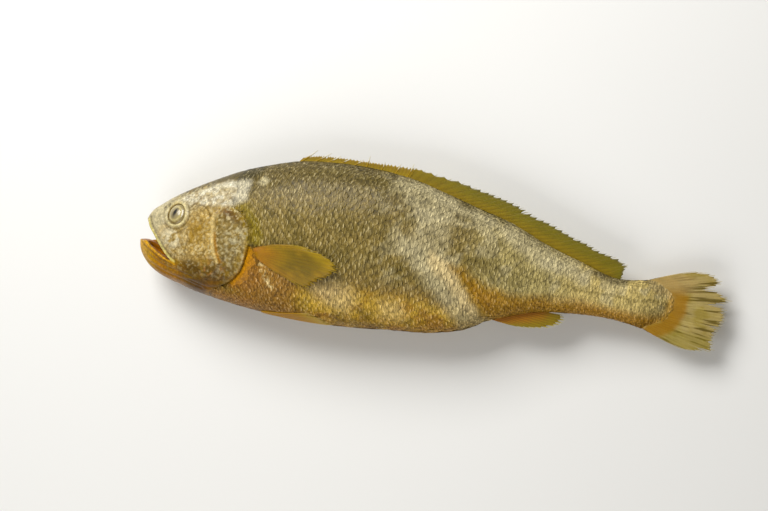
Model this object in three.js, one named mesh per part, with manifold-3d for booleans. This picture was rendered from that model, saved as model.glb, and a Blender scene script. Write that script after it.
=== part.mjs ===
// A whole large yellow croaker, lying on its right side as it does on a slab.
// Millimetres. X runs from the snout to the tail, Y towards the back fin, +Z up out of the left flank.
// The floor is Z = 0, and the origin is the middle of the fish's box on the floor.
import * as THREE from "three";
import { mergeVertices } from "three/addons/utils/BufferGeometryUtils.js";
import Module from "manifold-3d";

const wasm = await Module();
wasm.setup();

// ---- driving dimensions ----------------------------------------------------------------------
const bodyLength = 305; // snout to the end of the backbone
const midHeight = 22.3; // the middle plane of the fish above the floor, where the flank rests
const tailDroop = 11; // how far the tail end sags below that plane
const snoutDroop = 4; // and the snout
const tailDroopFrom = 0.42; // shares of the body's length where the sag starts
const snoutDroopFrom = 0.3;
const droopSpan = 0.7;
const clearance = 0.3; // the gap that touching pieces keep
const finThickness = 1.2;
const finTipThickness = 0.6;
const eyeRadius = 7.8;

// Cross-sections from the snout to the tail: the back's point (x, y), the belly's point (x, y), the half
// width, and how far down from the back the flank is widest, as a share of the section's height.
const sections = [
  { back: [-2.4, -12], belly: [-2.4, -12], half: 0, widest: 0.5 },
  { back: [-1.2, -5.5], belly: [-3, -17], half: 4.2, widest: 0.5 },
  { back: [0.2, 0.5], belly: [-1.6, -21.5], half: 6.6, widest: 0.52 },
  { back: [2.5, 4.6], belly: [1.8, -25.8], half: 8.6, widest: 0.52 },
  { back: [7, 8.2], belly: [7, -29.8], half: 11, widest: 0.52 },
  { back: [14, 13.4], belly: [15, -33.2], half: 13.6, widest: 0.52 },
  { back: [24, 19.6], belly: [25, -35.5], half: 16.4, widest: 0.53 },
  { back: [37, 26.6], belly: [37, -38.2], half: 19.4, widest: 0.54 },
  { back: [52, 34], belly: [52, -40.2], half: 21.8, widest: 0.53 },
  { back: [70, 40.6], belly: [70, -42], half: 23.2, widest: 0.51 },
  { back: [90, 46], belly: [90, -43], half: 24, widest: 0.49 },
  { back: [112, 48.2], belly: [112, -43], half: 24, widest: 0.48 },
  { back: [134, 48.2], belly: [134, -41.8], half: 23.2, widest: 0.48 },
  { back: [156, 45.8], belly: [156, -39.2], half: 21.2, widest: 0.48 },
  { back: [178, 40.4], belly: [178, -36.8], half: 18.4, widest: 0.48 },
  { back: [197, 35.2], belly: [197, -31.6], half: 15.6, widest: 0.48 },
  { back: [208, 32.6], belly: [208, -25.2], half: 13.8, widest: 0.49 },
  { back: [220, 28.6], belly: [220, -20.3], half: 12, widest: 0.5 },
  { back: [236, 22], belly: [236, -15], half: 9.8, widest: 0.5 },
  { back: [256, 15.9], belly: [256, -12.3], half: 7.8, widest: 0.5 },
  { back: [275, 10.4], belly: [275, -11.7], half: 6.4, widest: 0.5 },
  { back: [290, 11.6], belly: [290, -13.2], half: 5, widest: 0.5 },
  { back: [300, 14], belly: [300, -14.8], half: 3.2, widest: 0.5 },
  { back: [304, 13.2], belly: [304, -14], half: 1.2, widest: 0.5 },
];
const stationsPerSection = 2;
const pointsAround = 30;
const upperRoundness = 2.1; // 2 is an ellipse, and more is fuller
const lowerRoundness = 2.3;

// ---- materials -------------------------------------------------------------------------------
function material(color, roughness, metalness = 0) {
  return new THREE.MeshStandardMaterial({ color, roughness, metalness });
}
const skin = material(0xa38a4a, 0.4, 0.15);
const finYellow = material(0xb0902c, 0.5);
const tailYellow = material(0xb8a468, 0.5);
const eyeGold = material(0x9a8a5c, 0.2);

// ---- smooth curves through points ------------------------------------------------------------
function catmullRom(a, b, c, d, t) {
  const bend = 2 * a - 5 * b + 4 * c - d;
  return 0.5 * (2 * b + (c - a) * t + bend * t * t + (3 * b - a - 3 * c + d) * t * t * t);
}

// The value at place (0 to list.length - 1) of a smooth curve through a list of numbers.
function along(list, place) {
  const last = list.length - 1;
  const i = Math.min(Math.floor(place), last - 1);
  const before = list[Math.max(i - 1, 0)];
  const after = list[Math.min(i + 2, last)];
  return catmullRom(before, list[i], list[i + 1], after, place - i);
}

// The point at share (0 to 1) of a smooth curve through [x, y] points.
function pointOn(points, share) {
  const place = share * (points.length - 1);
  const xs = points.map((p) => p[0]);
  const ys = points.map((p) => p[1]);
  return [along(xs, place), along(ys, place)];
}

// ---- the body's surface ----------------------------------------------------------------------
// The height of the fish's middle plane above the floor at x.
function middleZ(x) {
  const s = x / bodyLength;
  const tail = Math.max(0, (s - tailDroopFrom) / droopSpan);
  const snout = Math.max(0, (snoutDroopFrom - s) / snoutDroopFrom);
  return midHeight - tailDroop * tail * tail - snoutDroop * snout * snout;
}

function sectionAt(place) {
  const pick = (read) => along(sections.map(read), place);
  const back = [pick((s) => s.back[0]), pick((s) => s.back[1])];
  const belly = [pick((s) => s.belly[0]), pick((s) => s.belly[1])];
  const widest = pick((s) => s.widest);
  const middle = [0, 1].map((k) => back[k] + (belly[k] - back[k]) * widest);
  return { back, belly, middle, half: Math.max(pick((s) => s.half), 0) };
}

// A point of the flank from its section and how far round it is: 0 at the back, PI at the belly.
function flankPoint(section, angle) {
  const upper = angle < Math.PI / 2;
  const end = upper ? section.back : section.belly;
  const power = 2 / (upper ? upperRoundness : lowerRoundness);
  const reach = Math.abs(Math.cos(angle)) ** power;
  const x = section.middle[0] + (end[0] - section.middle[0]) * reach;
  const y = section.middle[1] + (end[1] - section.middle[1]) * reach;
  return [x, y, section.half * Math.sin(angle)];
}

// The flank's distance from the middle plane at (x, y), or 0 outside the fish's outline.
function flankAt(x, y) {
  let low = 0;
  let high = sections.length - 1;
  for (let step = 0; step < 24; step++) {
    const place = (low + high) / 2;
    const { back, belly } = sectionAt(place);
    const side = (belly[0] - back[0]) * (y - back[1]) - (belly[1] - back[1]) * (x - back[0]);
    if (side > 0) low = place;
    else high = place;
  }
  const section = sectionAt(low);
  const upper = y > section.middle[1];
  const end = upper ? section.back : section.belly;
  const reach = (y - section.middle[1]) / (end[1] - section.middle[1]);
  const cosine = Math.min(1, reach) ** ((upper ? upperRoundness : lowerRoundness) / 2);
  return section.half * Math.sqrt(1 - cosine * cosine);
}

// The belly's y at a distance off the middle plane, on the underside.
function bellyAt(x, offset) {
  const place = sections.findIndex((s) => s.belly[0] > x);
  const before = sections[place - 1].belly[0];
  const section = sectionAt(place - 1 + (x - before) / (sections[place].belly[0] - before));
  const sine = Math.min(1, offset / section.half);
  const reach = Math.sqrt(1 - sine * sine) ** (2 / lowerRoundness);
  return section.middle[1] + (section.belly[1] - section.middle[1]) * reach;
}

// ---- solids ----------------------------------------------------------------------------------
function solidFrom(positions, indices) {
  return new wasm.Manifold(
    new wasm.Mesh({
      numProp: 3,
      vertProperties: new Float32Array(positions),
      triVerts: new Uint32Array(indices),
    }),
  );
}

function solidOf(geometry) {
  const bare = geometry.clone();
  bare.deleteAttribute("normal");
  bare.deleteAttribute("uv");
  const merged = mergeVertices(bare);
  return solidFrom(merged.attributes.position.array, merged.index.array);
}

function meshOf(name, solid, finish) {
  const { vertProperties, triVerts } = solid.getMesh();
  const geometry = new THREE.BufferGeometry();
  geometry.setAttribute("position", new THREE.BufferAttribute(new Float32Array(vertProperties), 3));
  geometry.setIndex(new THREE.BufferAttribute(triVerts, 1));
  geometry.computeVertexNormals();
  const mesh = new THREE.Mesh(geometry, finish);
  mesh.name = name;
  return mesh;
}

// A closed loft through rings of equal length, with a cap at each end.
function loft(rings) {
  const around = rings[0].length;
  const positions = rings.flat(2);
  const indices = [];
  for (let i = 0; i + 1 < rings.length; i++) {
    for (let j = 0; j < around; j++) {
      const a = i * around + j;
      const b = i * around + ((j + 1) % around);
      indices.push(a, b, a + around, b, b + around, a + around);
    }
  }
  const lastRing = (rings.length - 1) * around;
  for (let j = 1; j + 1 < around; j++) {
    indices.push(0, j + 1, j, lastRing, lastRing + j, lastRing + j + 1);
  }
  return solidFrom(positions, indices);
}

function ellipsoid(centre, radii, turn = 0) {
  const geometry = new THREE.SphereGeometry(1, 18, 12);
  geometry.scale(...radii);
  geometry.rotateZ(turn);
  geometry.translate(...centre);
  return solidOf(geometry);
}

// An outline in x and y made a slab between two heights.
function slab(points, low, high) {
  const shape = new THREE.Shape(points.map(([x, y]) => new THREE.Vector2(x, y)));
  const geometry = new THREE.ExtrudeGeometry(shape, { depth: high - low, bevelEnabled: false });
  geometry.translate(0, 0, low);
  return solidOf(geometry);
}

// ---- body --------------------------------------------------------------------------------------
// The whole skin as one solid. With grow it stands that far outside the skin, to trim what is set on it.
function bodyHull(grow = 0) {
  const rings = [];
  const count = (sections.length - 1) * stationsPerSection;
  for (let i = 0; i <= count; i++) {
    const section = sectionAt(Math.max(i / stationsPerSection, 0.12));
    section.half += grow;
    section.back[1] += grow;
    section.belly[1] -= grow;
    const ring = [];
    for (let j = 0; j < pointsAround; j++) {
      const angle = (2 * Math.PI * j) / pointsAround;
      const left = angle <= Math.PI;
      const [x, y, z] = flankPoint(section, left ? angle : 2 * Math.PI - angle);
      ring.push([x, y, middleZ(x) + (left ? z : -z)]);
    }
    rings.push(ring);
  }
  if (grow > 0) rings.push(rings[count].map(([x, y, z]) => [x + grow, y, z]));
  return loft(rings);
}

function largestPiece(solid) {
  const [largest] = solid.decompose().sort((a, b) => b.volume() - a.volume());
  return largest;
}

// What is set on the skin ends a clearance short of it.
function onSkin(solid) {
  return largestPiece(solid.subtract(bodyHull(clearance)));
}

// The open mouth: the gap between the jaws, then the hollow behind it.
const gape = [
  [-9, -1.6],
  [0.4, -1.6],
  [5, -5.2],
  [9.4, -9],
  [13.6, -13],
  [17.8, -17],
  [21.6, -20.2],
  [28, -22.8],
  [20, -22.6],
  [14.4, -20.6],
  [7.6, -17.4],
  [2, -15],
  [-9, -13.2],
];
const gapeTilt = -0.62; // the jaws open down and back

function mouth() {
  const z = middleZ(10);
  const gap = slab(gape, z - 30, z + 30);
  const vault = ellipsoid([12, -16.5, z], [13, 7, 6.5], gapeTilt);
  const throat = ellipsoid([26, -20, z + 0.5], [13, 8, 8.5], -0.2);
  return gap.add(vault).add(throat);
}

function tongue() {
  const z = middleZ(12);
  return ellipsoid([16.5, -26.2, z], [10, 3.4, 4.2], gapeTilt + 0.12);
}

// The slit behind each gill cover, as a narrow band that follows the cover's rear edge.
const gillEdge = [
  [59, 15.5],
  [67.5, 10.5],
  [71.8, 2],
  [72.2, -8],
  [69.8, -18],
  [64, -26],
  [54, -32.5],
];
const gillSlitWidth = 0.8;
const gillSlitDepth = 17; // from the middle plane

function gillSlit(side) {
  const steps = 16;
  const front = [];
  const rear = [];
  for (let i = 0; i <= steps; i++) {
    const [x, y] = pointOn(gillEdge, i / steps);
    front.push([x, y]);
    rear.unshift([x + gillSlitWidth, y]);
  }
  const z = middleZ(gillEdge[3][0]);
  const outline = [...front, ...rear];
  return side > 0 ? slab(outline, z + gillSlitDepth, z + 30) : slab(outline, z - 30, z - gillSlitDepth);
}

// ---- eyes --------------------------------------------------------------------------------------
const eyePlace = [22.2, 4.9]; // the middle of the eye on the skin
const eyeDepth = 3.9; // how far the ball's centre sits under the skin
const eyeFlatness = 0.76;

// The direction the skin faces at (x, y) on one side.
function skinFacing(x, y, side) {
  const height = (px, py) => middleZ(px) + side * flankAt(px, py);
  const slopeX = (height(x + 1, y) - height(x - 1, y)) / 2;
  const slopeY = (height(x, y + 1) - height(x, y - 1)) / 2;
  return new THREE.Vector3(-slopeX, -slopeY, 1).multiplyScalar(side).normalize();
}

function eyeball(side, radius) {
  const [x, y] = eyePlace;
  const facing = skinFacing(x, y, side);
  const centre = new THREE.Vector3(x, y, middleZ(x) + side * flankAt(x, y));
  centre.addScaledVector(facing, -eyeDepth);
  const geometry = new THREE.SphereGeometry(radius, 20, 14);
  geometry.scale(1, 1, eyeFlatness);
  geometry.applyQuaternion(new THREE.Quaternion().setFromUnitVectors(new THREE.Vector3(0, 0, 1), facing));
  geometry.translate(...centre);
  return solidOf(geometry);
}

// ---- fins --------------------------------------------------------------------------------------
// A thin closed sheet over a grid of [x, y, z] points: thicker where share is 0, at the root.
// The thickness is laid along z, or along y for a fin that lies flat under the belly.
function finSheet(rows, axis, extra = 0) {
  const columns = rows[0].length;
  const positions = [];
  for (const side of [1, -1]) {
    for (const row of rows) {
      row.forEach((point, j) => {
        const share = j / (columns - 1);
        const thickness = finThickness + (finTipThickness - finThickness) * share;
        const moved = [...point];
        moved[axis] += side * (thickness / 2 + extra);
        positions.push(...moved);
      });
    }
  }
  const under = rows.length * columns;
  const indices = [];
  const at = (i, j) => i * columns + j;
  for (let i = 0; i + 1 < rows.length; i++) {
    for (let j = 0; j + 1 < columns; j++) {
      const [a, b, c, d] = [at(i, j), at(i, j + 1), at(i + 1, j), at(i + 1, j + 1)];
      indices.push(a, c, b, b, c, d);
      indices.push(a + under, b + under, c + under, b + under, d + under, c + under);
    }
  }
  const rim = [];
  for (let j = 0; j < columns; j++) rim.push(at(0, j));
  for (let i = 1; i < rows.length; i++) rim.push(at(i, columns - 1));
  for (let j = columns - 2; j >= 0; j--) rim.push(at(rows.length - 1, j));
  for (let i = rows.length - 2; i > 0; i--) rim.push(at(i, 0));
  rim.forEach((a, k) => {
    const b = rim[(k + 1) % rim.length];
    indices.push(a, b, a + under, b, b + under, a + under);
  });
  const solid = solidFrom(positions, indices);
  if (solid.volume() > 0) return solid;
  for (let k = 0; k < indices.length; k += 3) {
    [indices[k + 1], indices[k + 2]] = [indices[k + 2], indices[k + 1]];
  }
  return solidFrom(positions, indices);
}

// A fin whose rays run from a root curve to an edge curve, over the surface that place() gives.
function finRows(root, edge, rayCount, steps, place) {
  const rows = [];
  for (let i = 0; i < rayCount; i++) {
    const share = i / (rayCount - 1);
    const [rx, ry] = pointOn(root, share);
    const [ex, ey] = pointOn(edge, share);
    const row = [];
    for (let j = 0; j <= steps; j++) {
      const t = j / steps;
      row.push(place(rx + (ex - rx) * t, ry + (ey - ry) * t, t));
    }
    rows.push(row);
  }
  return rows;
}
const onMiddlePlane = (x, y) => [x, y, middleZ(x)];

// The fins on the middle plane, root and edge, in order along the fish.
const spinyRoot = [
  [86, 43.2],
  [104, 46],
  [120, 47],
  [134, 46.6],
  [148, 45],
];
const spinyEdge = [
  [94, 50.8],
  [111, 52.2],
  [126, 52.8],
  [140, 52.8],
  [152, 53.2],
];
const softRoot = [
  [151, 45],
  [165, 42],
  [180, 38.2],
  [195, 34.2],
  [210, 30.2],
  [225, 25],
  [240, 19],
  [255, 14.4],
  [272, 9.2],
];
const softEdge = [
  [158, 52.8],
  [178, 49.7],
  [196, 46.3],
  [214, 42],
  [232, 34.6],
  [248, 29.2],
  [262, 25],
  [275, 22],
  [279, 13.4],
];
const analRoot = [
  [208, -22.8],
  [215, -19.8],
  [222, -17],
  [230, -14.4],
];
const analEdge = [
  [229, -25],
  [240, -23.8],
  [248.5, -20],
  [250, -14.6],
];
const tailRoot = [
  [296, 12],
  [302, 9],
  [302.5, 3.5],
  [302.5, -4],
  [302, -10],
  [297, -13],
];
const tailEdge = [
  [322, 21.6],
  [333.5, 17.5],
  [337.5, 8.2],
  [336.5, -3],
  [333, -13.5],
  [325, -21],
];

// A pectoral fin lies back along the flank, from a short root to a wide fan.
const pectoralRoot = [
  [76, -5.5],
  [76.6, -7.5],
  [77.6, -9.5],
  [79.5, -11.5],
];
const pectoralEdge = [
  [90, -0.8],
  [103, 0.6],
  [116, -2],
  [128.5, -9],
  [121, -16],
  [110, -23],
  [97, -18.6],
];
const leftPectoralLift = 2.4; // how far the fan's tip stands off the flank
const floorLayer = 0.7; // the height of a fin's middle where it is pressed on the floor

function leftPectoral() {
  const place = (x, y, t) => [x, y, middleZ(x) + flankAt(x, y) + 0.9 + leftPectoralLift * t];
  return finSheet(finRows(pectoralRoot, pectoralEdge, 13, 5, place), 2);
}

// Under the fish the other pectoral fin is pressed between the flank and the floor.
function rightPectoral(extra = 0) {
  const place = (x, y) => [x, y, Math.max(middleZ(x) - flankAt(x, y) - 0.9, floorLayer)];
  return finSheet(finRows(pectoralRoot, pectoralEdge, 13, 5, place), 2, extra);
}

// The hollow it presses into the flank.
function pressedHollow() {
  const steps = [[1, 0], [-1, 0], [0, 1], [0, -1]];
  const copies = steps.map(([x, y]) => rightPectoral(clearance).translate(x * clearance, y * clearance, 0));
  return copies.reduce((all, copy) => all.add(copy));
}

// Each pelvic fin lies back along the belly. The second number is the distance off the middle plane.
const pelvicRoot = [
  [80, 3],
  [79.6, 5.5],
  [79.2, 8],
];
const pelvicEdge = [
  [119, 1.6],
  [124, 6.5],
  [112, 13],
];

function pelvic(side) {
  const stand = 1.2;
  const place = (x, offset) => [x, bellyAt(x, offset) - stand, middleZ(x) + side * offset];
  return finSheet(finRows(pelvicRoot, pelvicEdge, 7, 7, place), 1);
}

// The spiny fin has its spines laid back, each a thin cone that stands out of the membrane.
const spineCount = 9;
const spineLength = 13;
const spineRadius = 0.7;
const spineTipRadius = 0.25;

function spinyFin() {
  let fin = medianFin(spinyRoot, spinyEdge, 13, 2);
  for (let i = 0; i < spineCount; i++) {
    const share = (i + 0.3) / spineCount;
    const [x, y] = pointOn(spinyRoot, share);
    const [ex, ey] = pointOn(spinyEdge, share);
    const lean = Math.atan2(ey + 2.2 - y, ex + 2 - x);
    const spine = new THREE.CylinderGeometry(spineTipRadius, spineRadius, spineLength - i * 0.5, 7);
    spine.translate(0, (spineLength - i * 0.5) / 2, 0);
    spine.rotateZ(lean - Math.PI / 2);
    spine.translate(x, y, middleZ(x));
    fin = fin.add(solidOf(spine));
  }
  return onSkin(fin);
}

// ---- the whole fish ------------------------------------------------------------------------------
function body() {
  let solid = bodyHull().subtract(mouth()).add(tongue().intersect(bodyHull()));
  for (const side of [1, -1]) {
    solid = solid.subtract(gillSlit(side)).subtract(eyeball(side, eyeRadius + clearance));
  }
  const floorBlock = slab([[-60, -90], [400, -90], [400, 90], [-60, 90]], -60, 0);
  return largestPiece(solid.subtract(floorBlock).subtract(pressedHollow()));
}

function medianFin(root, edge, rayCount, steps) {
  return onSkin(finSheet(finRows(root, edge, rayCount, steps, onMiddlePlane), 2));
}

const fish = new THREE.Group();
fish.add(
  meshOf("body", body(), skin),
  meshOf("left_eye", eyeball(1, eyeRadius), eyeGold),
  meshOf("right_eye", eyeball(-1, eyeRadius), eyeGold),
  meshOf("spiny_dorsal_fin", spinyFin(), finYellow),
  meshOf("soft_dorsal_fin", medianFin(softRoot, softEdge, 27, 3), finYellow),
  meshOf("anal_fin", medianFin(analRoot, analEdge, 9, 4), finYellow),
  meshOf("tail_fin", medianFin(tailRoot, tailEdge, 17, 4), tailYellow),
  meshOf("left_pectoral_fin", onSkin(leftPectoral()), finYellow),
  meshOf("right_pectoral_fin", rightPectoral(), finYellow),
  meshOf("left_pelvic_fin", onSkin(pelvic(1)), finYellow),
  meshOf("right_pelvic_fin", onSkin(pelvic(-1)), finYellow),
);

// The origin goes to the middle of the fish's box, on the floor.
const box = new THREE.Box3().setFromObject(fish);
const centre = box.getCenter(new THREE.Vector3());
fish.position.set(-centre.x, -centre.y, -box.min.z);

export default fish;
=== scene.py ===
# A raw croaker lying on its right side: scaled skin, ribbed fins, open mouth.
# Sizes here are in millimetres in the fish's own frame: x from the snout back, y up to the dorsal fins,
# z out of the left flank with the floor at 0. toRow() turns them into the row frame in metres.
import math

import bmesh
import bpy
import numpy as np
from mathutils import Matrix, Vector


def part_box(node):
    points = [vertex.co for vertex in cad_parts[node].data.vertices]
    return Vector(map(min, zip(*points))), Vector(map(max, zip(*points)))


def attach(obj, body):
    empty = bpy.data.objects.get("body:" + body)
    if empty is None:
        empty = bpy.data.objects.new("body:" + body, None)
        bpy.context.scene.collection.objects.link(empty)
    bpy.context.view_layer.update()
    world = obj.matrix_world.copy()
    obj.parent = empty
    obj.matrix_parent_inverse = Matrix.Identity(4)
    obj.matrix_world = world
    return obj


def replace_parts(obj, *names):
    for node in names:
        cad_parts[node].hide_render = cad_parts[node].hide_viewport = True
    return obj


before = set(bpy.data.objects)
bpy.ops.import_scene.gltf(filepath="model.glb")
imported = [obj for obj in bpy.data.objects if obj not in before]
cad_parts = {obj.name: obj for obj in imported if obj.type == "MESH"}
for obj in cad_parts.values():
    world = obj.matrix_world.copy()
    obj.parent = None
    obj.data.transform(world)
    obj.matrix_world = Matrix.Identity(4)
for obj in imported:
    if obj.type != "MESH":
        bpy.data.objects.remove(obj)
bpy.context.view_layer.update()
print("frame loaded:", len(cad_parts), "nodes")

mm = 0.001

# the fish's own shape
fish = {
    "midHeight": 22.3,     # middle plane above the floor
    "length": 305.0,       # snout to the end of the backbone
    "tailDroop": 11.0,
    "tailDroopFrom": 0.42,
    "snoutDroop": 4.0,
    "snoutDroopFrom": 0.3,
    "droopSpan": 0.7,
    "upperRoundness": 2.1,
    "lowerRoundness": 2.3,
    "floorGap": 0.06,      # left under whatever rests on the floor
}

# back x, back y, belly x, belly y, half width, share of the height where it is widest
crossSections = np.array([
    (-2.4, -12, -2.4, -12, 0, 0.5),
    (-1.2, -5.5, -3, -17, 4.2, 0.5),
    (0.2, 0.5, -1.6, -21.5, 6.6, 0.52),
    (2.5, 4.6, 1.8, -25.8, 8.6, 0.52),
    (7, 8.2, 7, -29.8, 11, 0.52),
    (14, 13.4, 15, -33.2, 13.6, 0.52),
    (24, 19.6, 25, -35.5, 16.4, 0.53),
    (37, 26.6, 37, -38.2, 19.4, 0.54),
    (52, 34, 52, -40.2, 21.8, 0.53),
    (70, 40.6, 70, -42, 23.2, 0.51),
    (90, 46, 90, -43, 24, 0.49),
    (112, 48.2, 112, -43, 24, 0.48),
    (134, 48.2, 134, -41.8, 23.2, 0.48),
    (156, 45.8, 156, -39.2, 21.2, 0.48),
    (178, 40.4, 178, -36.8, 18.4, 0.48),
    (197, 35.2, 197, -31.6, 15.6, 0.48),
    (208, 32.6, 208, -25.2, 13.8, 0.49),
    (220, 28.6, 220, -20.3, 12, 0.5),
    (236, 22, 236, -15, 9.8, 0.5),
    (256, 15.9, 256, -12.3, 7.8, 0.5),
    (275, 10.4, 275, -11.7, 6.4, 0.5),
    (290, 11.6, 290, -13.2, 5, 0.5),
    (300, 14, 300, -14.8, 3.2, 0.5),
    (304, 13.2, 304, -14, 1.2, 0.5),
])


# curves and the skin's surface
def curveAt(values, place):
    values = np.asarray(values, float)
    if values.ndim == 1:
        values = values[:, None]
    place = np.atleast_1d(np.asarray(place, float))
    last = len(values) - 1
    i = np.clip(np.floor(place).astype(int), 0, last - 1)
    t = (place - i)[:, None]
    a, b = values[np.maximum(i - 1, 0)], values[i]
    c, d = values[i + 1], values[np.minimum(i + 2, last)]
    return 0.5 * (2 * b + (c - a) * t + (2 * a - 5 * b + 4 * c - d) * t**2 + (3 * b - a - 3 * c + d) * t**3)


def curveShare(points, share):
    return curveAt(points, np.asarray(share) * (len(points) - 1))


def evenly(points, count):  # count places spread over the whole of a curve
    return curveShare(points, np.linspace(0, 1, count))


def curveY(points, x):  # y of a curve that runs along x
    dense = evenly(points, 200)
    return np.interp(x, dense[:, 0], dense[:, 1])


def smooth(low, high, value):
    t = np.clip((value - low) / (high - low), 0, 1)
    return t * t * (3 - 2 * t)


def bell(value, width):
    return np.exp(-((value / width) ** 2))


def middleHeight(x):
    s = np.asarray(x) / fish["length"]
    tail = np.maximum(0, (s - fish["tailDroopFrom"]) / fish["droopSpan"])
    snout = np.maximum(0, (fish["snoutDroopFrom"] - s) / fish["snoutDroopFrom"])
    return fish["midHeight"] - fish["tailDroop"] * tail**2 - fish["snoutDroop"] * snout**2


def skinAt(place, angle, side):  # angle is 0 at the back and pi at the belly
    place, angle = np.broadcast_arrays(np.atleast_1d(place).astype(float), np.asarray(angle, float))
    place, angle = place.ravel(), angle.ravel()
    s = curveAt(crossSections, place)
    back, belly = s[:, 0:2], s[:, 2:4]
    middle = back + (belly - back) * s[:, 5:6]
    upper = angle < math.pi / 2
    end = np.where(upper[:, None], back, belly)
    power = np.where(upper, 2 / fish["upperRoundness"], 2 / fish["lowerRoundness"])
    reach = np.abs(np.cos(angle)) ** power
    flat = middle + (end - middle) * reach[:, None]
    half = np.maximum(s[:, 4], 0)
    return np.column_stack([flat, middleHeight(flat[:, 0]) + side * half * np.sin(angle)])


def settle(points, lowest=fish["floorGap"], softness=0.5):  # the lower flank flattens where it meets the floor
    z = points[:, 2] - lowest
    points[:, 2] = lowest + 0.5 * (z + np.sqrt(z * z + softness * softness))
    return points


lastPlace = len(crossSections) - 1
densePlaces = np.linspace(0, lastPlace, 2000)
denseBack = curveAt(crossSections, densePlaces)
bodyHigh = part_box("body")[1]
rowShift = np.array([bodyHigh.x / mm - denseBack[:, 0].max(), bodyHigh.y / mm - denseBack[:, 1].max(), 0.0])


def toRow(points):
    return (np.asarray(points, float) + rowShift) * mm


stalk = {
    "bendFrom": 282.0,
    "middle": 0.9,         # y of its end
    "halfHeight": 14.0,
    "hollow": 8.0,         # how much further forward it ends above and below
    "stretch": 2.6,
    "thinFrom": 290.0,
    "thinning": 0.74,
    "lastX": 304.0,        # of the last cross-section
}


def tailTaper(points):  # the tail stalk thins out and ends in an arc on the tail fin
    x, y, z = points.T
    v = np.clip((y - stalk["middle"]) / stalk["halfHeight"], -1.1, 1.1)
    end = smooth(stalk["bendFrom"], fish["length"], x)
    newX = x - stalk["hollow"] * v * v * end + stalk["stretch"] * end
    was, now = (curveAt(crossSections, placeAtX(np.minimum(at, stalk["lastX"]))) for at in (x, newX))
    share = (y - was[:, 3]) / np.maximum(was[:, 1] - was[:, 3], 1)
    newY = np.where(end > 0, now[:, 3] + share * (now[:, 1] - now[:, 3]), y)
    middle = middleHeight(x)
    thin = 1 - stalk["thinning"] * smooth(stalk["thinFrom"], stalk["lastX"], x)
    return np.column_stack([newX, newY, middle + (z - middle) * thin])


def placeAtX(x):  # behind the head the sections stand square, so x gives the place
    return np.interp(x, denseBack[:, 0], densePlaces)


def flankHeight(x, y):  # distance of the skin from the middle plane at x, y
    x, y = np.broadcast_arrays(np.atleast_1d(x).astype(float), np.atleast_1d(y).astype(float))
    low, high = np.zeros(x.shape), np.full(x.shape, float(lastPlace))
    for _ in range(22):
        place = (low + high) / 2
        s = curveAt(crossSections, place)
        across = (s[:, 2] - s[:, 0]) * (y - s[:, 1]) - (s[:, 3] - s[:, 1]) * (x - s[:, 0])
        low, high = np.where(across > 0, place, low), np.where(across > 0, high, place)
    s = curveAt(crossSections, low)
    middleY = s[:, 1] + (s[:, 3] - s[:, 1]) * s[:, 5]
    upper = y > middleY
    reach = np.clip((y - middleY) / (np.where(upper, s[:, 1], s[:, 3]) - middleY), 0, 1)
    cosine = reach ** (np.where(upper, fish["upperRoundness"], fish["lowerRoundness"]) / 2)
    return s[:, 4] * np.sqrt(np.maximum(0, 1 - cosine**2))


# repeatable noise, for shapes and for the paint
def cloud(points, size, seed=0, octaves=3):
    total, weight, gain = 0.0, 0.0, 1.0
    p = np.asarray(points, float) / size
    for octave in range(octaves):
        cell = np.floor(p).astype(np.int64)
        f = p - cell
        f = f * f * (3 - 2 * f)
        value = 0.0
        for corner in range(2 ** p.shape[1]):
            bits = [(corner >> axis) & 1 for axis in range(p.shape[1])]
            key = np.full(len(p), seed * 7919 + octave * 104729, np.int64)
            share = np.ones(len(p))
            for axis, bit in enumerate(bits):
                key = key * 31 + (cell[:, axis] + bit) * (73856093, 19349663, 83492791)[axis]
                share = share * (f[:, axis] if bit else 1 - f[:, axis])
            key = (key ^ (key >> 13)) * 1274126177
            value = value + share * (((key ^ (key >> 16)) & 0xFFFF) / 65535)
        total, weight = total + gain * value, weight + gain
        p, gain = p * 2.03 + 17.3, gain * 0.5
    return total / weight


# meshes
def shadeSmooth(mesh):
    mesh.polygons.foreach_set("use_smooth", [True] * len(mesh.polygons))


def makeObject(name, points, faces, material=None):
    mesh = bpy.data.meshes.new(name)
    mesh.from_pydata([tuple(p) for p in points], [], [tuple(int(i) for i in f) for f in faces])
    mesh.validate()
    shadeSmooth(mesh)
    item = bpy.data.objects.new(name, mesh)
    bpy.context.scene.collection.objects.link(item)
    if material:
        mesh.materials.append(material)
    return item


def meshPoints(mesh):
    co = np.empty(len(mesh.vertices) * 3)
    mesh.vertices.foreach_get("co", co)
    return co.reshape(-1, 3)


def fishPoints(mesh):  # in the fish's own frame
    return meshPoints(mesh) / mm - rowShift


def meshNormals(mesh):
    co = np.empty(len(mesh.vertices) * 3)
    mesh.vertices.foreach_get("normal", co)
    return co.reshape(-1, 3)


def setPoints(mesh, points):
    mesh.vertices.foreach_set("co", np.asarray(points, float).ravel())
    mesh.update()


def storeNumber(mesh, name, values):
    layer = mesh.attributes.get(name) or mesh.attributes.new(name, "FLOAT", "POINT")
    layer.data.foreach_set("value", np.asarray(values, float).ravel())


def storeColour(mesh, name, colours):
    grey = (colours @ np.array([0.3, 0.6, 0.1]))[:, None]
    colours = np.clip((grey + (colours - grey) * 1.18) * 0.88, 0.001, 0.95)
    layer = mesh.attributes.get(name) or mesh.attributes.new(name, "FLOAT_COLOR", "POINT")
    full = np.column_stack([colours, np.ones(len(colours))])
    layer.data.foreach_set("color", full.ravel())


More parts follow.
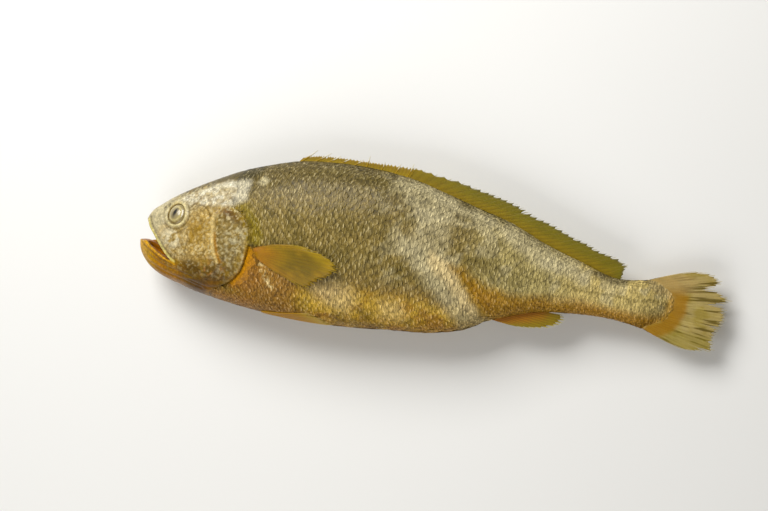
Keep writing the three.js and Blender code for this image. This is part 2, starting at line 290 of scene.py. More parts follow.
def baked(item, name):  # the evaluated object as a plain mesh of its own
    graph = bpy.context.evaluated_depsgraph_get()
    mesh = bpy.data.meshes.new_from_object(item.evaluated_get(graph))
    result = bpy.data.objects.new(name, mesh)
    bpy.context.scene.collection.objects.link(result)
    bpy.data.objects.remove(item)
    return result


def gridFaces(rows, columns, closed=False):
    faces = []
    for i in range(rows - 1):
        for j in range(columns if closed else columns - 1):
            k = (j + 1) % columns
            faces.append((i * columns + j, i * columns + k, (i + 1) * columns + k, (i + 1) * columns + j))
    return faces


def outward(item):  # every face turned to the outside
    work = bmesh.new()
    work.from_mesh(item.data)
    bmesh.ops.remove_doubles(work, verts=work.verts, dist=1e-7)
    bmesh.ops.recalc_face_normals(work, faces=work.faces)
    work.to_mesh(item.data)
    work.free()
    shadeSmooth(item.data)
    return item


# shader helper: sums on sockets, and one way to add any node
class Sum:
    def __init__(self, tree, socket):
        self.tree, self.socket = tree, socket

    def make(self, operation, other, swapped=False):
        node = self.tree.nodes.new("ShaderNodeMath")
        node.operation = operation
        pair = (other, self) if swapped else (self, other)
        for slot, value in zip(node.inputs, pair):
            if isinstance(value, Sum):
                self.tree.links.new(value.socket, slot)
            else:
                slot.default_value = value
        return Sum(self.tree, node.outputs[0])

    def __add__(self, other):
        return self.make("ADD", other)

    def __radd__(self, other):
        return self.make("ADD", other)

    def __sub__(self, other):
        return self.make("SUBTRACT", other)

    def __rsub__(self, other):
        return self.make("SUBTRACT", other, True)

    def __mul__(self, other):
        return self.make("MULTIPLY", other)

    def __rmul__(self, other):
        return self.make("MULTIPLY", other)

    def clamped(self):
        result = self.make("ADD", 0.0)
        result.socket.node.use_clamp = True
        return result

    def absolute(self):
        return self.make("ABSOLUTE", 0.0)

    def fraction(self):
        return self.make("FRACT", 0.0)

    def sine(self):
        return self.make("SINE", 0.0)


class Finish:
    def __init__(self, name):
        self.material = bpy.data.materials.new(name)
        self.material.use_nodes = True
        self.tree = self.material.node_tree
        self.tree.nodes.clear()
        output = self.tree.nodes.new("ShaderNodeOutputMaterial")
        self.skin = self.tree.nodes.new("ShaderNodeBsdfPrincipled")
        self.tree.links.new(self.skin.outputs[0], output.inputs[0])
        self.place = self.node("ShaderNodeTexCoord", out="Object")

    def plug(self, slot, value):
        if isinstance(value, Sum):
            self.tree.links.new(value.socket, slot)
        elif value is not None:
            slot.default_value = value

    def node(self, kind, settings=None, out=0, **sockets):
        node = self.tree.nodes.new(kind)
        for key, value in (settings or {}).items():
            setattr(node, key, value)
        for key, value in sockets.items():  # i1 stands for the input of that number
            self.plug(
                node.inputs[int(key[1:])] if key[0] == "i" and key[1:].isdigit() else node.inputs[key], value,
            )
        return Sum(self.tree, node.outputs[out])

    def number(self, name):
        return self.node("ShaderNodeAttribute", {"attribute_name": name}, "Fac")

    def colour(self, name):
        return self.node("ShaderNodeAttribute", {"attribute_name": name}, "Color")

    def mix(self, share, first, second, blend="MIX"):
        node = self.tree.nodes.new("ShaderNodeMix")
        node.data_type, node.blend_type = "RGBA", blend
        node.clamp_result = False
        for slot, value in ((node.inputs[0], share), (node.inputs[6], first), (node.inputs[7], second)):
            if isinstance(value, tuple) and len(value) == 3:
                value = (*value, 1)
            self.plug(slot, value)
        return Sum(self.tree, node.outputs[2])

    def noise(self, perMetre, stretch, detail, rough):
        place = self.node("ShaderNodeMapping", Vector=self.place, Scale=stretch)
        return self.node(
            "ShaderNodeTexNoise", None, "Fac", Vector=place, Scale=perMetre, Detail=detail, Roughness=rough,
        )

    def grey(self, value):
        return self.node("ShaderNodeCombineColor", Red=value, Green=value, Blue=value)

    def shaded(self, paint, shade):
        return self.mix(1.0, paint, self.grey(shade), "MULTIPLY")

    def ramp(self, value, low, high):  # 0 below low, 1 above high, smooth between
        return self.node(
            "ShaderNodeMapRange", {"interpolation_type": "SMOOTHSTEP"}, Value=value, i1=low, i2=high,
        )

    def bump(self, height, strength, distance):
        return self.node("ShaderNodeBump", Height=height, Strength=strength, Distance=distance)

    def finish(self, **sockets):
        for key, value in sockets.items():
            self.plug(self.skin.inputs[key.replace("_", " ")], value)
        return self.material


def tint(red, green, blue):  # a colour as seen on screen, made linear
    return tuple(((v / 255 + 0.055) / 1.055) ** 2.4 if v > 10 else v / 255 / 12.92 for v in (red, green, blue))


class Growth:  # a geometry tree, built with named inputs and run once
    def __init__(self, name, inputs):
        self.tree = bpy.data.node_groups.new(name, "GeometryNodeTree")
        face = self.tree.interface
        face.new_socket("Geometry", in_out="INPUT", socket_type="NodeSocketGeometry")
        self.inputs = {
            label: face.new_socket(label, in_out="INPUT", socket_type=kind) for label, kind in inputs
        }
        face.new_socket("Geometry", in_out="OUTPUT", socket_type="NodeSocketGeometry")
        self.entry = self.tree.nodes.new("NodeGroupInput")
        self.exit = self.tree.nodes.new("NodeGroupOutput")

    def node(self, kind, settings=None, **sockets):
        node = self.tree.nodes.new(kind)
        for key, value in (settings or {}).items():
            setattr(node, key, value)
        for key, value in sockets.items():
            slot = next(s for s in node.inputs if s.name == key.replace("_", " ") and s.enabled)
            if hasattr(value, "is_output"):
                self.tree.links.new(value, slot)
            else:
                slot.default_value = value
        return node

    def named(self, name, kind="FLOAT"):
        node = self.node("GeometryNodeInputNamedAttribute", {"data_type": kind}, Name=name)
        return next(s for s in node.outputs if s.enabled)

    def grow(self, item, name, values):
        modifier = item.modifiers.new("growth", "NODES")
        modifier.node_group = self.tree
        for label, value in values.items():
            modifier[self.inputs[label].identifier] = value
        return baked(item, name)


# paint zones, in the fish's own x and y
def gapTo(points, line):  # distance to a polyline, and how far along it the nearest place is
    line = np.asarray(line, float)
    best, along = np.full(len(points), 1e9), np.zeros(len(points))
    for i in range(len(line) - 1):
        a, d = line[i], line[i + 1] - line[i]
        t = np.clip(((points - a) @ d) / max(d @ d, 1e-9), 0, 1)
        gap = np.linalg.norm(points - a - t[:, None] * d, axis=1)
        nearer = gap < best
        best, along = np.where(nearer, gap, best), np.where(nearer, (i + t) / (len(line) - 1), along)
    return best, along


def inside(points, outline):
    outline = np.asarray(outline, float)
    hit = np.zeros(len(points), bool)
    for a, b in zip(outline, np.roll(outline, -1, axis=0)):
        crosses = (a[1] > points[:, 1]) != (b[1] > points[:, 1])
        rise = b[1] - a[1] if b[1] != a[1] else 1e-9
        hit ^= crosses & (points[:, 0] < (b[0] - a[0]) * (points[:, 1] - a[1]) / rise + a[0])
    return hit


def patch(points, outline, soft):  # 1 within the outline, fading over soft mm at its edge
    closed = np.vstack([outline, outline[:1]])
    gap, _ = gapTo(points, closed)
    return smooth(-soft, soft, np.where(inside(points, outline), gap, -gap))


def stroke(points, line, width, soft):
    gap, _ = gapTo(points, line)
    return 1 - smooth(width / 2 - soft / 2, width / 2 + soft, gap)


def plain(points, colour):
    return np.tile(np.array(colour), (len(points), 1))


def over(base, share, colour):
    return base + np.asarray(share)[:, None] * (np.asarray(colour) - base)


def layers(base, *coats):  # coats of paint in the order they go on, each a share and a colour
    for share, colour in coats:
        base = over(base, share, colour)
    return base


gillEdge = [
    (56, 50), (57, 40), (57, 30), (57.5, 22), (59, 15.5), (67.5, 10.5), (71.8, 2), (72.2, -8), (69.8, -18),
    (64, -26), (54, -32.5), (47, -37), (41, -44),
]
lateralLine = [
    (66, 15.5), (70.6, 17.8), (83, 24), (97.3, 28.9), (108, 32.6), (119.2, 35.2), (129, 35.6), (137.9, 34.8),
    (147, 31.4), (155.8, 27.1), (174.3, 17.9), (183, 13), (192.3, 9.2), (203, 7.4), (214.5, 6.2), (236.6, 3.3),
    (258.6, 1.4), (280.3, 0.7), (301.4, 1.4), (310, 1.4),
]
gillCurve = evenly(gillEdge, 90)


def behindGill(flat):  # signed distance to the gill cover's rear edge, with the place along it
    gap, along = gapTo(flat + (cloud(flat, 3.4, 71, 2)[:, None] - 0.5) * 2.4, gillCurve)
    edgeX = np.interp(-flat[:, 1], -gillCurve[:, 1], gillCurve[:, 0])
    return np.where(flat[:, 0] > edgeX, gap, -gap), along


def lipShare(along):  # the gill cover stands free of the skin only in its middle part
    return smooth(0.3, 0.42, along) * (1 - smooth(0.76, 0.92, along))


# where the colours lie on the skin
colours = {
    "backFront": tint(104, 89, 46),
    "back": tint(109, 95, 53),
    "flank": tint(137, 118, 67),
    "flankLow": tint(152, 124, 64),
    "bellyGold": tint(214, 176, 84),
    "bellyOrange": tint(164, 116, 18),
    "ochre": tint(180, 132, 34),
    "silver": tint(206, 194, 156),
    "cream": tint(240, 216, 164),
    "rear": tint(185, 169, 115),
    "stalk": tint(214, 192, 130),
    "stalkEdge": tint(184, 134, 50),
    "shoulder": tint(158, 114, 14),
    "yellow": tint(138, 120, 16),
    "snout": tint(196, 184, 148),
    "headSilver": tint(226, 218, 192),
    "nape": tint(72, 62, 20),
    "cheek": tint(188, 158, 98),
    "cheekLow": tint(98, 72, 24),
    "throat": tint(100, 68, 4),
    "opercle": tint(124, 106, 62),
    "brown": tint(101, 70, 39),
    "jaw": tint(166, 118, 36),
    "jawTip": tint(204, 164, 84),
    "lip": tint(214, 200, 130),
    "red": tint(92, 18, 4),
    "orange": tint(172, 118, 10),
    "olive": tint(104, 90, 40),
    "fold": tint(186, 132, 22),
    "dark": tint(60, 48, 16),
    "slit": tint(52, 40, 14),
    "flap": tint(150, 124, 24),
}
zones = {
    "nape": [
        (18, 15.4), (28.3, 18.0), (41.6, 24.4), (49.7, 28.0), (63.2, 30.9), (70, 36), (74, 50), (40, 46),
        (12, 22),
    ],
    "headSilver": [
        (22, 13), (26, 16.5), (32.9, 20.8), (41, 25), (50, 28.6), (65.6, 31.4), (66.7, 20), (58.4, 15.3),
        (45.4, 13.2), (32, 12),
    ],
    "silverSpot": [(69.5, 30), (73, 35), (77.5, 33), (75, 29.5)],
    "brown": [(52, 11.5), (55.4, 14.6), (62, 13.6), (67.5, 11), (69, 7.5), (63, 7.6), (56, 9.6)],
    "yellow": [(62, 17.5), (68, 17), (76, 10), (80, 2), (78.5, -4), (72.5, -4), (72.6, 3), (69, 10)],
    "opercle": [
        (49.5, 9.5), (61, 13), (69, 8), (72, 0), (72, -8), (69, -18), (66, -24), (58, -24), (55.5, -16),
        (52.5, -10), (50, 0),
    ],
    "cheek": [
        (27, -1), (33, 9), (46, 10), (48.6, 5), (50, -6), (52.5, -13), (50, -20), (38, -20), (28, -20),
        (21, -17.5), (12, -7), (14, -4),
    ],
    "cheekLow": [
        (29, -21.5), (40, -19), (52, -15), (57, -16), (64, -20), (64, -27), (56, -31), (44, -32), (32, -28),
    ],
    "midSilver": [
        (149, 50), (150, 42), (160, 34), (166, 22), (159, 8), (176, 3), (187, 10), (184, 22), (178, 50),
    ],
    "lightBand": [
        (160, 12), (168, 13), (182, 3), (192, -9), (200, -18), (207, -24), (196, -30), (188, -22), (178, -10),
        (166, 2),
    ],
    "diagonal": [
        (177, 9), (185, 5.4), (193.4, -2.6), (200.2, -12.4), (206, -21.5), (201.5, -24.5), (194.5, -13.5),
        (186.5, -5.5), (176, 3),
    ],
    "creamPatch": [
        (112, -21), (118, -18.6), (128, -16.6), (136, -19), (138, -26), (134, -33), (122, -31), (114, -26),
    ],
    "creamRear": [(152, -24), (162, -22), (168, -28), (162, -34), (152, -33)],
    "rearBelly": [
        (188, 3), (196, -4), (202, -13), (208, -22), (214, -26), (232, -22), (262, -18), (256, -7.6),
        (240, -5.5), (222, -8), (206, -4), (196, 2),
    ],
    "baseSilver": [
        (166, 44), (182, 39), (200, 33.5), (222, 26.5), (242, 18), (262, 11), (262, 4), (238, 9), (224, 17),
        (206, 26), (188, 31), (172, 36),
    ],
    "darkGreen": [(262, 13), (265, 9.8), (275, 7.2), (283, 8.6), (283, 12), (270, 14)],
    "flap": [(57, 15), (62, 14.6), (68, 12), (72.4, 6), (74, -3), (71.4, -6), (69.6, 2), (66, 8), (60, 11.6)],
    "redThroat": [(46, -33), (56, -31.5), (70, -33), (78, -36), (70, -41), (50, -40)],
    "axil": [
        (71.6, -5), (76, -6.4), (78.6, -10), (79, -15), (76.5, -21.5), (72.4, -27.5), (66, -31), (61.4, -29.4),
        (67, -22),
    ],
    "underFin": [(73, -9), (79, -12), (83, -15), (84, -24), (76, -31), (66, -31), (64.5, -26), (70, -17.5)],
}
# the band of orange where the stalk meets the tail fin
tailBand = [(298, 14), (307.5, 10.8), (311, 6), (311.2, 0), (309.4, -6.6), (304.8, -12), (298, -15)]


def bodyPaint(points):
    x, y = points[:, :2].T
    flat = points[:, :2] + (cloud(points, 9, 3)[:, None] - 0.5) * 3.2
    flat = flat + (cloud(points, 3, 8)[:, None] - 0.5) * 1.6
    s = curveAt(crossSections, placeAtX(x))
    height = np.clip((y - s[:, 3]) / np.maximum(s[:, 1] - s[:, 3], 1), 0, 1)
    paint = plain(points, colours["flank"])
    paint = layers(
        paint,
        (smooth(0.7, 0.97, height), colours["back"]),
        (smooth(0.75, 0.95, height) * (1 - smooth(80, 130, x)), colours["backFront"]),
        (1 - smooth(0.2, 0.42, height), colours["flankLow"]),
    )
    belly = (1 - smooth(0.12, 0.3, height + 0.1 * (cloud(points, 12, 5) - 0.5))) * smooth(84, 104, x)
    paint = layers(
        paint,
        (belly, colours["bellyGold"]),
        (belly * smooth(0.45, 0.62, cloud(points, 8, 6)) * 0.7, colours["bellyOrange"]),
        ((1 - smooth(0.02, 0.12, height)) * 0.6, colours["bellyOrange"]),
        (smooth(186, 222, x) * (1 - 0.5 * smooth(0.85, 1, height)), colours["rear"]),
        (smooth(238, 262, x), colours["stalk"]),
        (smooth(240, 262, x) * (1 - smooth(0.12, 0.42, height)) * 0.9, colours["stalkEdge"]),
    )
    blotch = smooth(0.5, 0.63, cloud(points, 7, 12)) * smooth(132, 156, x) * smooth(0.25, 0.45, height)
    paint = over(paint, blotch * 0.5, colours["silver"])
    shade = smooth(0.5, 0.63, cloud(points, 8, 13)) * (1 - smooth(236, 262, x))
    paint = over(paint, shade * 0.4, colours["olive"])
    shoulder = smooth(62, 74, x) * (1 - smooth(96, 112, x)) * (1 - smooth(0.3, 0.48, height))
    paint = over(paint, shoulder * 0.9, colours["shoulder"])
    for name, colour, share, soft in (
        ("yellow", "yellow", 1.0, 3.2), ("underFin", "orange", 0.5, 3), ("axil", "fold", 0.85, 1.6),
        ("midSilver", "silver", 0.55, 6),
        ("lightBand", "silver", 0.65, 5), ("diagonal", "cream", 0.85, 3.2), ("creamPatch", "cream", 0.45, 5),
        ("creamRear", "cream", 0.35, 4), ("rearBelly", "ochre", 0.85, 4), ("baseSilver", "silver", 0.7, 3.5),
        ("silverSpot", "silver", 0.8, 1.5), ("darkGreen", "dark", 0.7, 2), ("redThroat", "orange", 0.6, 4),
    ):
        paint = over(paint, patch(flat, zones[name], soft) * share, colours[colour])
    paint = over(paint, stroke(flat, evenly(lateralLine, 90), 0.7, 0.8) * 0.45, colours["olive"])
    paint = over(
        paint, stroke(flat, evenly(tailBand, 40), 10.5, 4) * 0.85 * (1 - 0.7 * smooth(4, 10, y)),
        tint(176, 132, 56),
    )
    line = [(82, -14.4), (84.6, -19.4), (88.4, -25.4)]
    flecks = stroke(flat, line, 2.4, 1.2) * smooth(0.42, 0.56, cloud(points, 1.6, 14, 2))
    paint = over(paint, flecks * 0.8, colours["cream"])
    # painted shade: a dark line in the slit above the pectoral fin's root
    paint = over(paint, stroke(flat, [(71.4, -4.4), (75, -5), (79.4, -5.4)], 0.9, 0.8) * 0.75, colours["slit"])
    # the head
    onHead = 1 - smooth(-3, 1.5, behindGill(points[:, :2])[0])
    face = plain(points, colours["snout"])
    face = layers(
        face,
        (smooth(26, 44, x) * 0.8, colours["cheek"]),
        (1 - smooth(-24, -15, y + 0.12 * (x - 30)), colours["cheekLow"]),
        ((1 - smooth(-33, -25, y - 0.1 * (x - 20))) * smooth(30, 46, x), colours["throat"]),
    )
    underLip = smooth(1, 2.5, curveY(upperLip, np.clip(x, 2.4, 24)) - y) * (1 - smooth(22, 24, x))
    jaw = np.maximum(1 - smooth(-22.5, -19.5, y), underLip) * (1 - smooth(22, 40, x))
    face = over(face, jaw, colours["jaw"])
    face = over(face, jaw * (1 - smooth(4, 16, x)) * 0.7, colours["jawTip"])
    for name, colour, share, soft in (
        ("cheek", "cheek", 0.7, 3), ("opercle", "opercle", 0.85, 2.5), ("cheekLow", "cheekLow", 0.75, 3),
        ("headSilver", "headSilver", 1.0, 1.4), ("brown", "brown", 0.8, 2), ("redThroat", "orange", 0.45, 4),
    ):
        face = over(face, patch(flat, zones[name], soft) * share, colours[colour])
    paint = over(paint, onHead, face)
    flap = patch(flat, zones["flap"], 1.8) * (0.4 + 0.5 * smooth(0.4, 0.6, cloud(points, 2.6, 15, 2)))
    paint = layers(
        paint,
        (flap, colours["flap"]),
        (patch(flat, zones["nape"], 1.5) * 0.9, colours["nape"]),
        (patch(flat, zones["headSilver"], 2) * (1 - onHead) * 0.7, colours["headSilver"]),
    )
    return paint


# finishes
def wetSkin(name):
    f = Finish(name)
    paint = f.colour("paint")
    grain = f.noise(900, (1, 1.3, 1), 4, 0.6)
    mottle = f.noise(330, (1, 1, 1), 4, 0.6)
    vein = (f.noise(420, (1, 1, 1), 2, 0.5) - 0.5).absolute() * 9
    shade = (0.12 + grain * 0.75 + mottle * 1.05) * (0.66 + 0.34 * vein.clamped())
    colour = f.shaded(paint, shade)
    height = grain * 0.6 + mottle * 0.7
    return f.finish(
        Base_Color=colour, Roughness=0.34 + grain * 0.2, Normal=f.bump(height, 0.5, 0.0006),
        Coat_Weight=0.16, Coat_Roughness=0.16, Specular_IOR_Level=0.15,
    )


def scaleSkin(name):
    f = Finish(name)
    paint = f.colour("paint")
    along, across, chance = f.number("along"), f.number("across"), f.number("chance")
    second, third = (chance * 17.31).fraction(), (chance * 71.7).fraction()
    grain = f.noise(1400, (1, 1, 1), 4, 0.65)
    streak = f.noise(780, (1.8, 0.34, 0.7), 3, 0.6)
    # a wet glint along part of the free edge, a different part on each scale
    edge = along + (grain - 0.5) * 0.14
    rim = f.ramp(edge, 0.8, 0.92) * (1 - f.ramp(edge, 0.96, 1.03) * 0.5)
    window = 1 - f.ramp((across - (second - 0.5) * 0.7).absolute(), 0.35, 0.95)
    dash = f.ramp(streak, 0.34, 0.64)
    # painted highlight: short vertical glints on the scales, added to the glint below
    glintFleck = f.ramp(streak, 0.5, 0.66) * f.ramp(grain, 0.35, 0.6)
    glint = rim * window * f.ramp(chance, -0.2, 1.0) * f.ramp(streak, 0.36, 0.6) * 0.85 + glintFleck * 0.4
    ridges = ((across * 20 + grain * 6).sine() * 0.5 + 0.5) * f.ramp(along, 0.4, 0.9)
    # painted shade: each scale is darker towards its covered base, where the scale in front shades it
    pocketShade = f.ramp(edge, 0.42, 0.74)
    # the dash streaks are painted lighter, partly the scales' own streaky colour and partly painted glint
    shade = (0.88 + 0.14 * third) * (0.56 + 0.44 * pocketShade) * (0.22 + grain * 0.72 + dash * 0.52)
    shade = shade * (1.1 - ridges * 0.2)
    colour = f.shaded(paint, shade)
    bright = f.mix(0.3, f.mix(1.0, paint, (1.75, 1.75, 1.65), "MULTIPLY"), tint(255, 240, 196))
    colour = f.mix(glint.clamped(), colour, bright)
    return f.finish(
        Base_Color=colour, Roughness=0.5 - glint * 0.2, Normal=f.bump(
            ridges * 0.3 + grain * 0.5 + dash * 0.6, 0.4, 0.0004,
        ),
        Coat_Weight=0.1, Coat_Roughness=0.2, Specular_IOR_Level=0.18,
    )


def finSkin(name, glow=0.12):
    f = Finish(name)
    paint = f.colour("paint")
    grain = f.noise(1200, (1, 1, 1), 3, 0.6)
    blotch = f.noise(180, (1, 1, 1), 3, 0.5)
    shade = 0.62 + grain * 0.36 + blotch * 0.36
    colour = f.shaded(paint, shade)
    return f.finish(
        Base_Color=colour, Roughness=0.4 + grain * 0.15, Normal=f.bump(grain, 0.25, 0.0004), Coat_Weight=0.1,
        Coat_Roughness=0.25, Specular_IOR_Level=0.22, Subsurface_Weight=glow, Subsurface_Radius=(
            0.004, 0.003, 0.001,
        ),
        Subsurface_Scale=0.3,
    )


skinFinish = wetSkin("headSkin")
scaleFinish = scaleSkin("scaleSkin")
finFinish = finSkin("finSkin")
rayFinish = finSkin("finRay", 0.05)

# head
head = {
    "end": 88.0,          # where its mesh stops, under the trunk's skin
    "voxel": 0.56,
    "gillLip": 0.4,       # how far the gill cover stands up at its rear edge
    "cheekRidge": 0.8,
    "eyeX": 22.2,
    "eyeY": 4.9,
    "eyeDepth": 3.9,      # of the eyeball's centre under the skin
    "eyeRing": (6.6, 6.1),  # half the width and height of the eye's opening
    "socket": 7.0,
    "around": 150,        # points round each section
    "lipSteps": 40,
    # place, size and depth of each nostril, and the size of the painted shade in it
    "nostrils": [((15.2, 8.8), 1.1, 1.3, 1.2), ((12.6, 7.2), 0.6, 0.8, 0.8)],
}


def hullPoints(rows, columns):  # rings of skin points at the given places
    angles = np.linspace(0, 2 * math.pi, columns, endpoint=False)
    angle = np.where(angles <= math.pi, angles, 2 * math.pi - angles)
    side = np.where(angles <= math.pi, 1.0, -1.0)
    rowGrid, angleGrid = np.meshgrid(rows, angle, indexing="ij")
    sideGrid = np.tile(side, (len(rows), 1))
    return skinAt(rowGrid, angleGrid, sideGrid.ravel())


def blob(centre, radii, turn):  # a ball with three radii, turned in the plane of the flank
    rings, around = 24, 36
    points = []
    for i in range(rings + 1):
        for j in range(around):
            a, b = math.pi * i / rings, 2 * math.pi * j / around
            points.append(
                (
                    math.cos(a) * radii[0], math.sin(a) * math.cos(b) * radii[1],
                    math.sin(a) * math.sin(b) * radii[2],
                )
            )
    p = np.array(points)
    c, s = math.cos(turn), math.sin(turn)
    p = np.column_stack([p[:, 0] * c - p[:, 1] * s, p[:, 0] * s + p[:, 1] * c, p[:, 2]])
    p = p + np.array([centre[0], centre[1], float(middleHeight(centre[0]))])
    return p, gridFaces(rings + 1, around, True)


def tube(line, radii):
    around = 12
    line, radii = np.asarray(line, float), np.broadcast_to(np.asarray(radii, float), (len(line),))
    along = np.gradient(line, axis=0)
    along /= np.linalg.norm(along, axis=1)[:, None]
    aside = np.cross(along, np.array([0.0, 0.0, 1.0]))
    aside /= np.maximum(np.linalg.norm(aside, axis=1), 1e-6)[:, None]
    rise = np.cross(aside, along)
    points = []
    for p, a, r, radius in zip(line, aside, rise, radii):
        for j in range(around):
            t = 2 * math.pi * j / around
            points.append(p + (a * math.cos(t) + r * math.sin(t)) * radius)
    faces = gridFaces(len(line), around, True)
    faces += [tuple(range(around))[::-1], tuple(range((len(line) - 1) * around, len(line) * around))]
    return np.array(points), faces


def cut(item, points, faces, operation):
    cutter = outward(makeObject("cutter", toRow(points), faces))
    modifier = item.modifiers.new("cut", "BOOLEAN")
    modifier.operation, modifier.object, modifier.solver = operation, cutter, "EXACT"
    result = baked(item, item.name)
    bpy.data.objects.remove(cutter)
    return result


upperLip = [(2.4, -1.2), (5, -4.6), (9.4, -8.6), (13.4, -12.6), (17.6, -16.6), (21.2, -19.8), (25.5, -22.3)]
lowerLip = [(0.6, -15.6), (3.4, -14.4), (8, -17.2), (14.6, -20.2), (20, -22.4), (25.5, -23.4)]


def lipLine(line, inset):  # a curve round the front of a jaw, from the right corner to the left
    count = head["lipSteps"]
    flat = evenly(line, count)
    reach = flankHeight(flat[:, 0], flat[:, 1])
    reach = np.maximum(reach - inset, 0.01) * smooth(-0.05, 0.14, np.linspace(0, 1, count))
    middle = middleHeight(flat[:, 0])
    left = np.column_stack([flat, middle + reach])
    right = np.column_stack([flat, middle - reach])
    return np.vstack([right[::-1], left[1:]])


def makeHead():
    rows = np.concatenate([np.linspace(0, 5, 40), placeAtX(np.arange(15, head["end"], 1.0))])
    around = head["around"]
    points = hullPoints(rows, around)
    faces = gridFaces(len(rows), around, True) + [tuple(range((len(rows) - 1) * around, len(rows) * around))]
    item = outward(makeObject("head", toRow(points), faces))
    gape = [
        (-9, -1.6), (0.4, -1.6), (5, -5.2), (9.4, -9), (13.6, -13), (17.8, -17), (21.6, -20.2), (27, -22.6),
        (20, -22.4), (14.4, -20.2), (7.6, -16.8), (2, -14.4), (-9, -12.6),
    ]
    slab = np.array([(x, y, z) for z in (-10, 60) for x, y in gape], float)
    n = len(gape)
    sides = [(i, (i + 1) % n, n + (i + 1) % n, n + i) for i in range(n)]
    item = cut(item, slab, sides + [tuple(range(n))[::-1], tuple(range(n, 2 * n))], "DIFFERENCE")
    item = cut(item, *blob((12, -16.5), (13, 7, 6.5), -0.62), "DIFFERENCE")
    item = cut(item, *blob((26, -20), (13, 8, 8.5), -0.2), "DIFFERENCE")
    for side in (1, -1):
        ball, ballFaces = blob((0, 0), [head["socket"]] * 3, 0)
        ball = ball - np.array([0, 0, float(middleHeight(0))]) + eyeSpot(side)[0]
        item = cut(item, ball, ballFaces, "DIFFERENCE")
    extra = [blob((16.5, -26.2), (10, 3.4, 4.6), -0.5), blob((25, -19), (5, 4.2, 4), -0.6)]
    t = np.linspace(-1, 1, 2 * head["lipSteps"] - 1)
    extra.append(tube(lipLine(upperLip, 0.4), 0.75 + 0.25 * (1 - np.abs(t))))
    extra.append(tube(lipLine(lowerLip, 0.5), 0.8 + 0.3 * (1 - np.abs(t))))
    inner = [(2.6, -16.6), (5.5, -17), (9.5, -19.4), (15.4, -22), (20.4, -23.6), (25, -24)]
    extra.append(tube(lipLine(inner, 2.2), 0.7))
    parts = [makeObject("extra", toRow(p), f) for p, f in extra]
    for part in parts:
        outward(part)
    with bpy.context.temp_override(active_object=item, selected_editable_objects=[item] + parts):
        bpy.ops.object.join()
    modifier = item.modifiers.new("remesh", "REMESH")
    modifier.mode, modifier.voxel_size, modifier.adaptivity = "VOXEL", head["voxel"] * mm, 0
    modifier = item.modifiers.new("smooth", "SMOOTH")
    modifier.factor, modifier.iterations = 0.5, 4
    item = baked(item, "head")
    mesh = item.data
    mesh.update()
    points = fishPoints(mesh)
    points = points + meshNormals(mesh) * headRelief(points)[:, None]
    settle(points)
    setPoints(mesh, toRow(points))
    storeColour(mesh, "paint", headPaint(points))
    shadeSmooth(mesh)
    mesh.materials.clear()
    mesh.materials.append(skinFinish)
    return item


def eyeSpot(side):  # the eyeball's centre, and the way it looks
    x, y, step = head["eyeX"], head["eyeY"], 0.5
    h = flankHeight([x, x + step, x], [y, y, y + step])
    skin = np.array([x, y, float(middleHeight(x)) + side * h[0]])
    start, length = fish["snoutDroopFrom"], fish["length"]
    droop = side * fish["snoutDroop"] * 2 * (start - x / length) / start**2 / length
    slopeX, slopeY = (h[1] - h[0]) / step + droop, (h[2] - h[0]) / step
    normal = np.array([-slopeX, -slopeY, side])
    normal /= np.linalg.norm(normal)
    return skin - normal * head["eyeDepth"], normal


def eyeRing(x, y):  # 1 on the edge of the eye's opening
    wide, high = head["eyeRing"]
    return np.hypot((x - head["eyeX"]) / wide, (y - head["eyeY"]) / high)


def headRelief(points):
    flat = points[:, :2]
    x, y = flat.T
    onSkin = smooth(2.2, 0.9, flankHeight(x, y) - np.abs(points[:, 2] - middleHeight(x)))
    behind, along = behindGill(flat)
    free = lipShare(along)
    rise = free * head["gillLip"] * smooth(-7, -0.6, behind) * (1 - smooth(-0.3, 0.9, behind))
    rise -= (1 - free) * 2.2 * smooth(0.5, 5, behind) + free * 2.4 * smooth(-0.2, 1.1, behind)
    ridge = [(49.5, 12), (48.3, 5.6), (50.6, -5.7), (52.7, -12.5), (55.3, -17), (52, -24), (44, -29), (34, -30)]
    gap, share = gapTo(flat, evenly(ridge, 60))
    rise += head["cheekRidge"] * bell(gap, 1.3) * smooth(0, 0.1, share) * (1 - 0.6 * smooth(0.5, 0.8, share))
    gap, _ = gapTo(flat, evenly([(50.6, 7), (50.6, 3), (52.8, -6), (54.8, -13), (57.4, -18)], 40))
    rise -= 0.45 * bell(gap, 0.8)
    ring = eyeRing(x, y)
    rise += 0.55 * bell(ring - 1.12, 0.13) - 0.4 * bell(ring - 1.42, 0.12) * smooth(2, -3, y - head["eyeY"])
    for spot, size, deep, _ in head["nostrils"]:
        gap = np.hypot(x - spot[0], y - spot[1])
        rise += 0.3 * bell(gap - size * 1.3, 0.5) - deep * bell(gap, size)
    for line, deep, wide in (
        ([(4, 1.6), (8, -4), (13, -9), (18, -13.6), (23, -17.6)], 0.5, 0.7),
        ([(13, 2), (17, -3), (22, -5.4), (28, -4), (33, 0)], 0.35, 0.6),
        ([(15, -3), (20, -7.6), (26, -8.6), (33, -6)], 0.35, 0.6),
        ([(31, 3), (36, 8), (42, 9)], 0.35, 0.7),
        ([(7, -22), (16, -25.4), (28, -27.4), (38, -29)], 0.5, 0.7),
        ([(6, -25.6), (18, -29.6), (32, -32), (44, -34.6)], 0.45, 0.7),
        ([(40, -27), (50, -29.4), (58, -27.4)], 0.35, 0.8),
        ([(36, -31), (48, -33.4), (58, -31)], 0.4, 0.8),
        ([(56, -20), (61, -14), (63, -6)], 0.22, 1.0),
        ([(59, -22), (65, -14), (67, -4)], 0.22, 1.0),
    ):
        gap, _ = gapTo(flat, evenly(line, 30))
        rise -= deep * bell(gap, wide)
    cheek = smooth(24, 32, x) * (1 - smooth(64, 72, x)) * smooth(-34, -26, y) * (1 - smooth(14, 22, y))
    rise += cheek * 0.5 * (cloud(points, 2.4, 21) - 0.5) + 0.3 * (cloud(points, 5, 22) - 0.5) * smooth(8, 20, x)
    return rise * onSkin


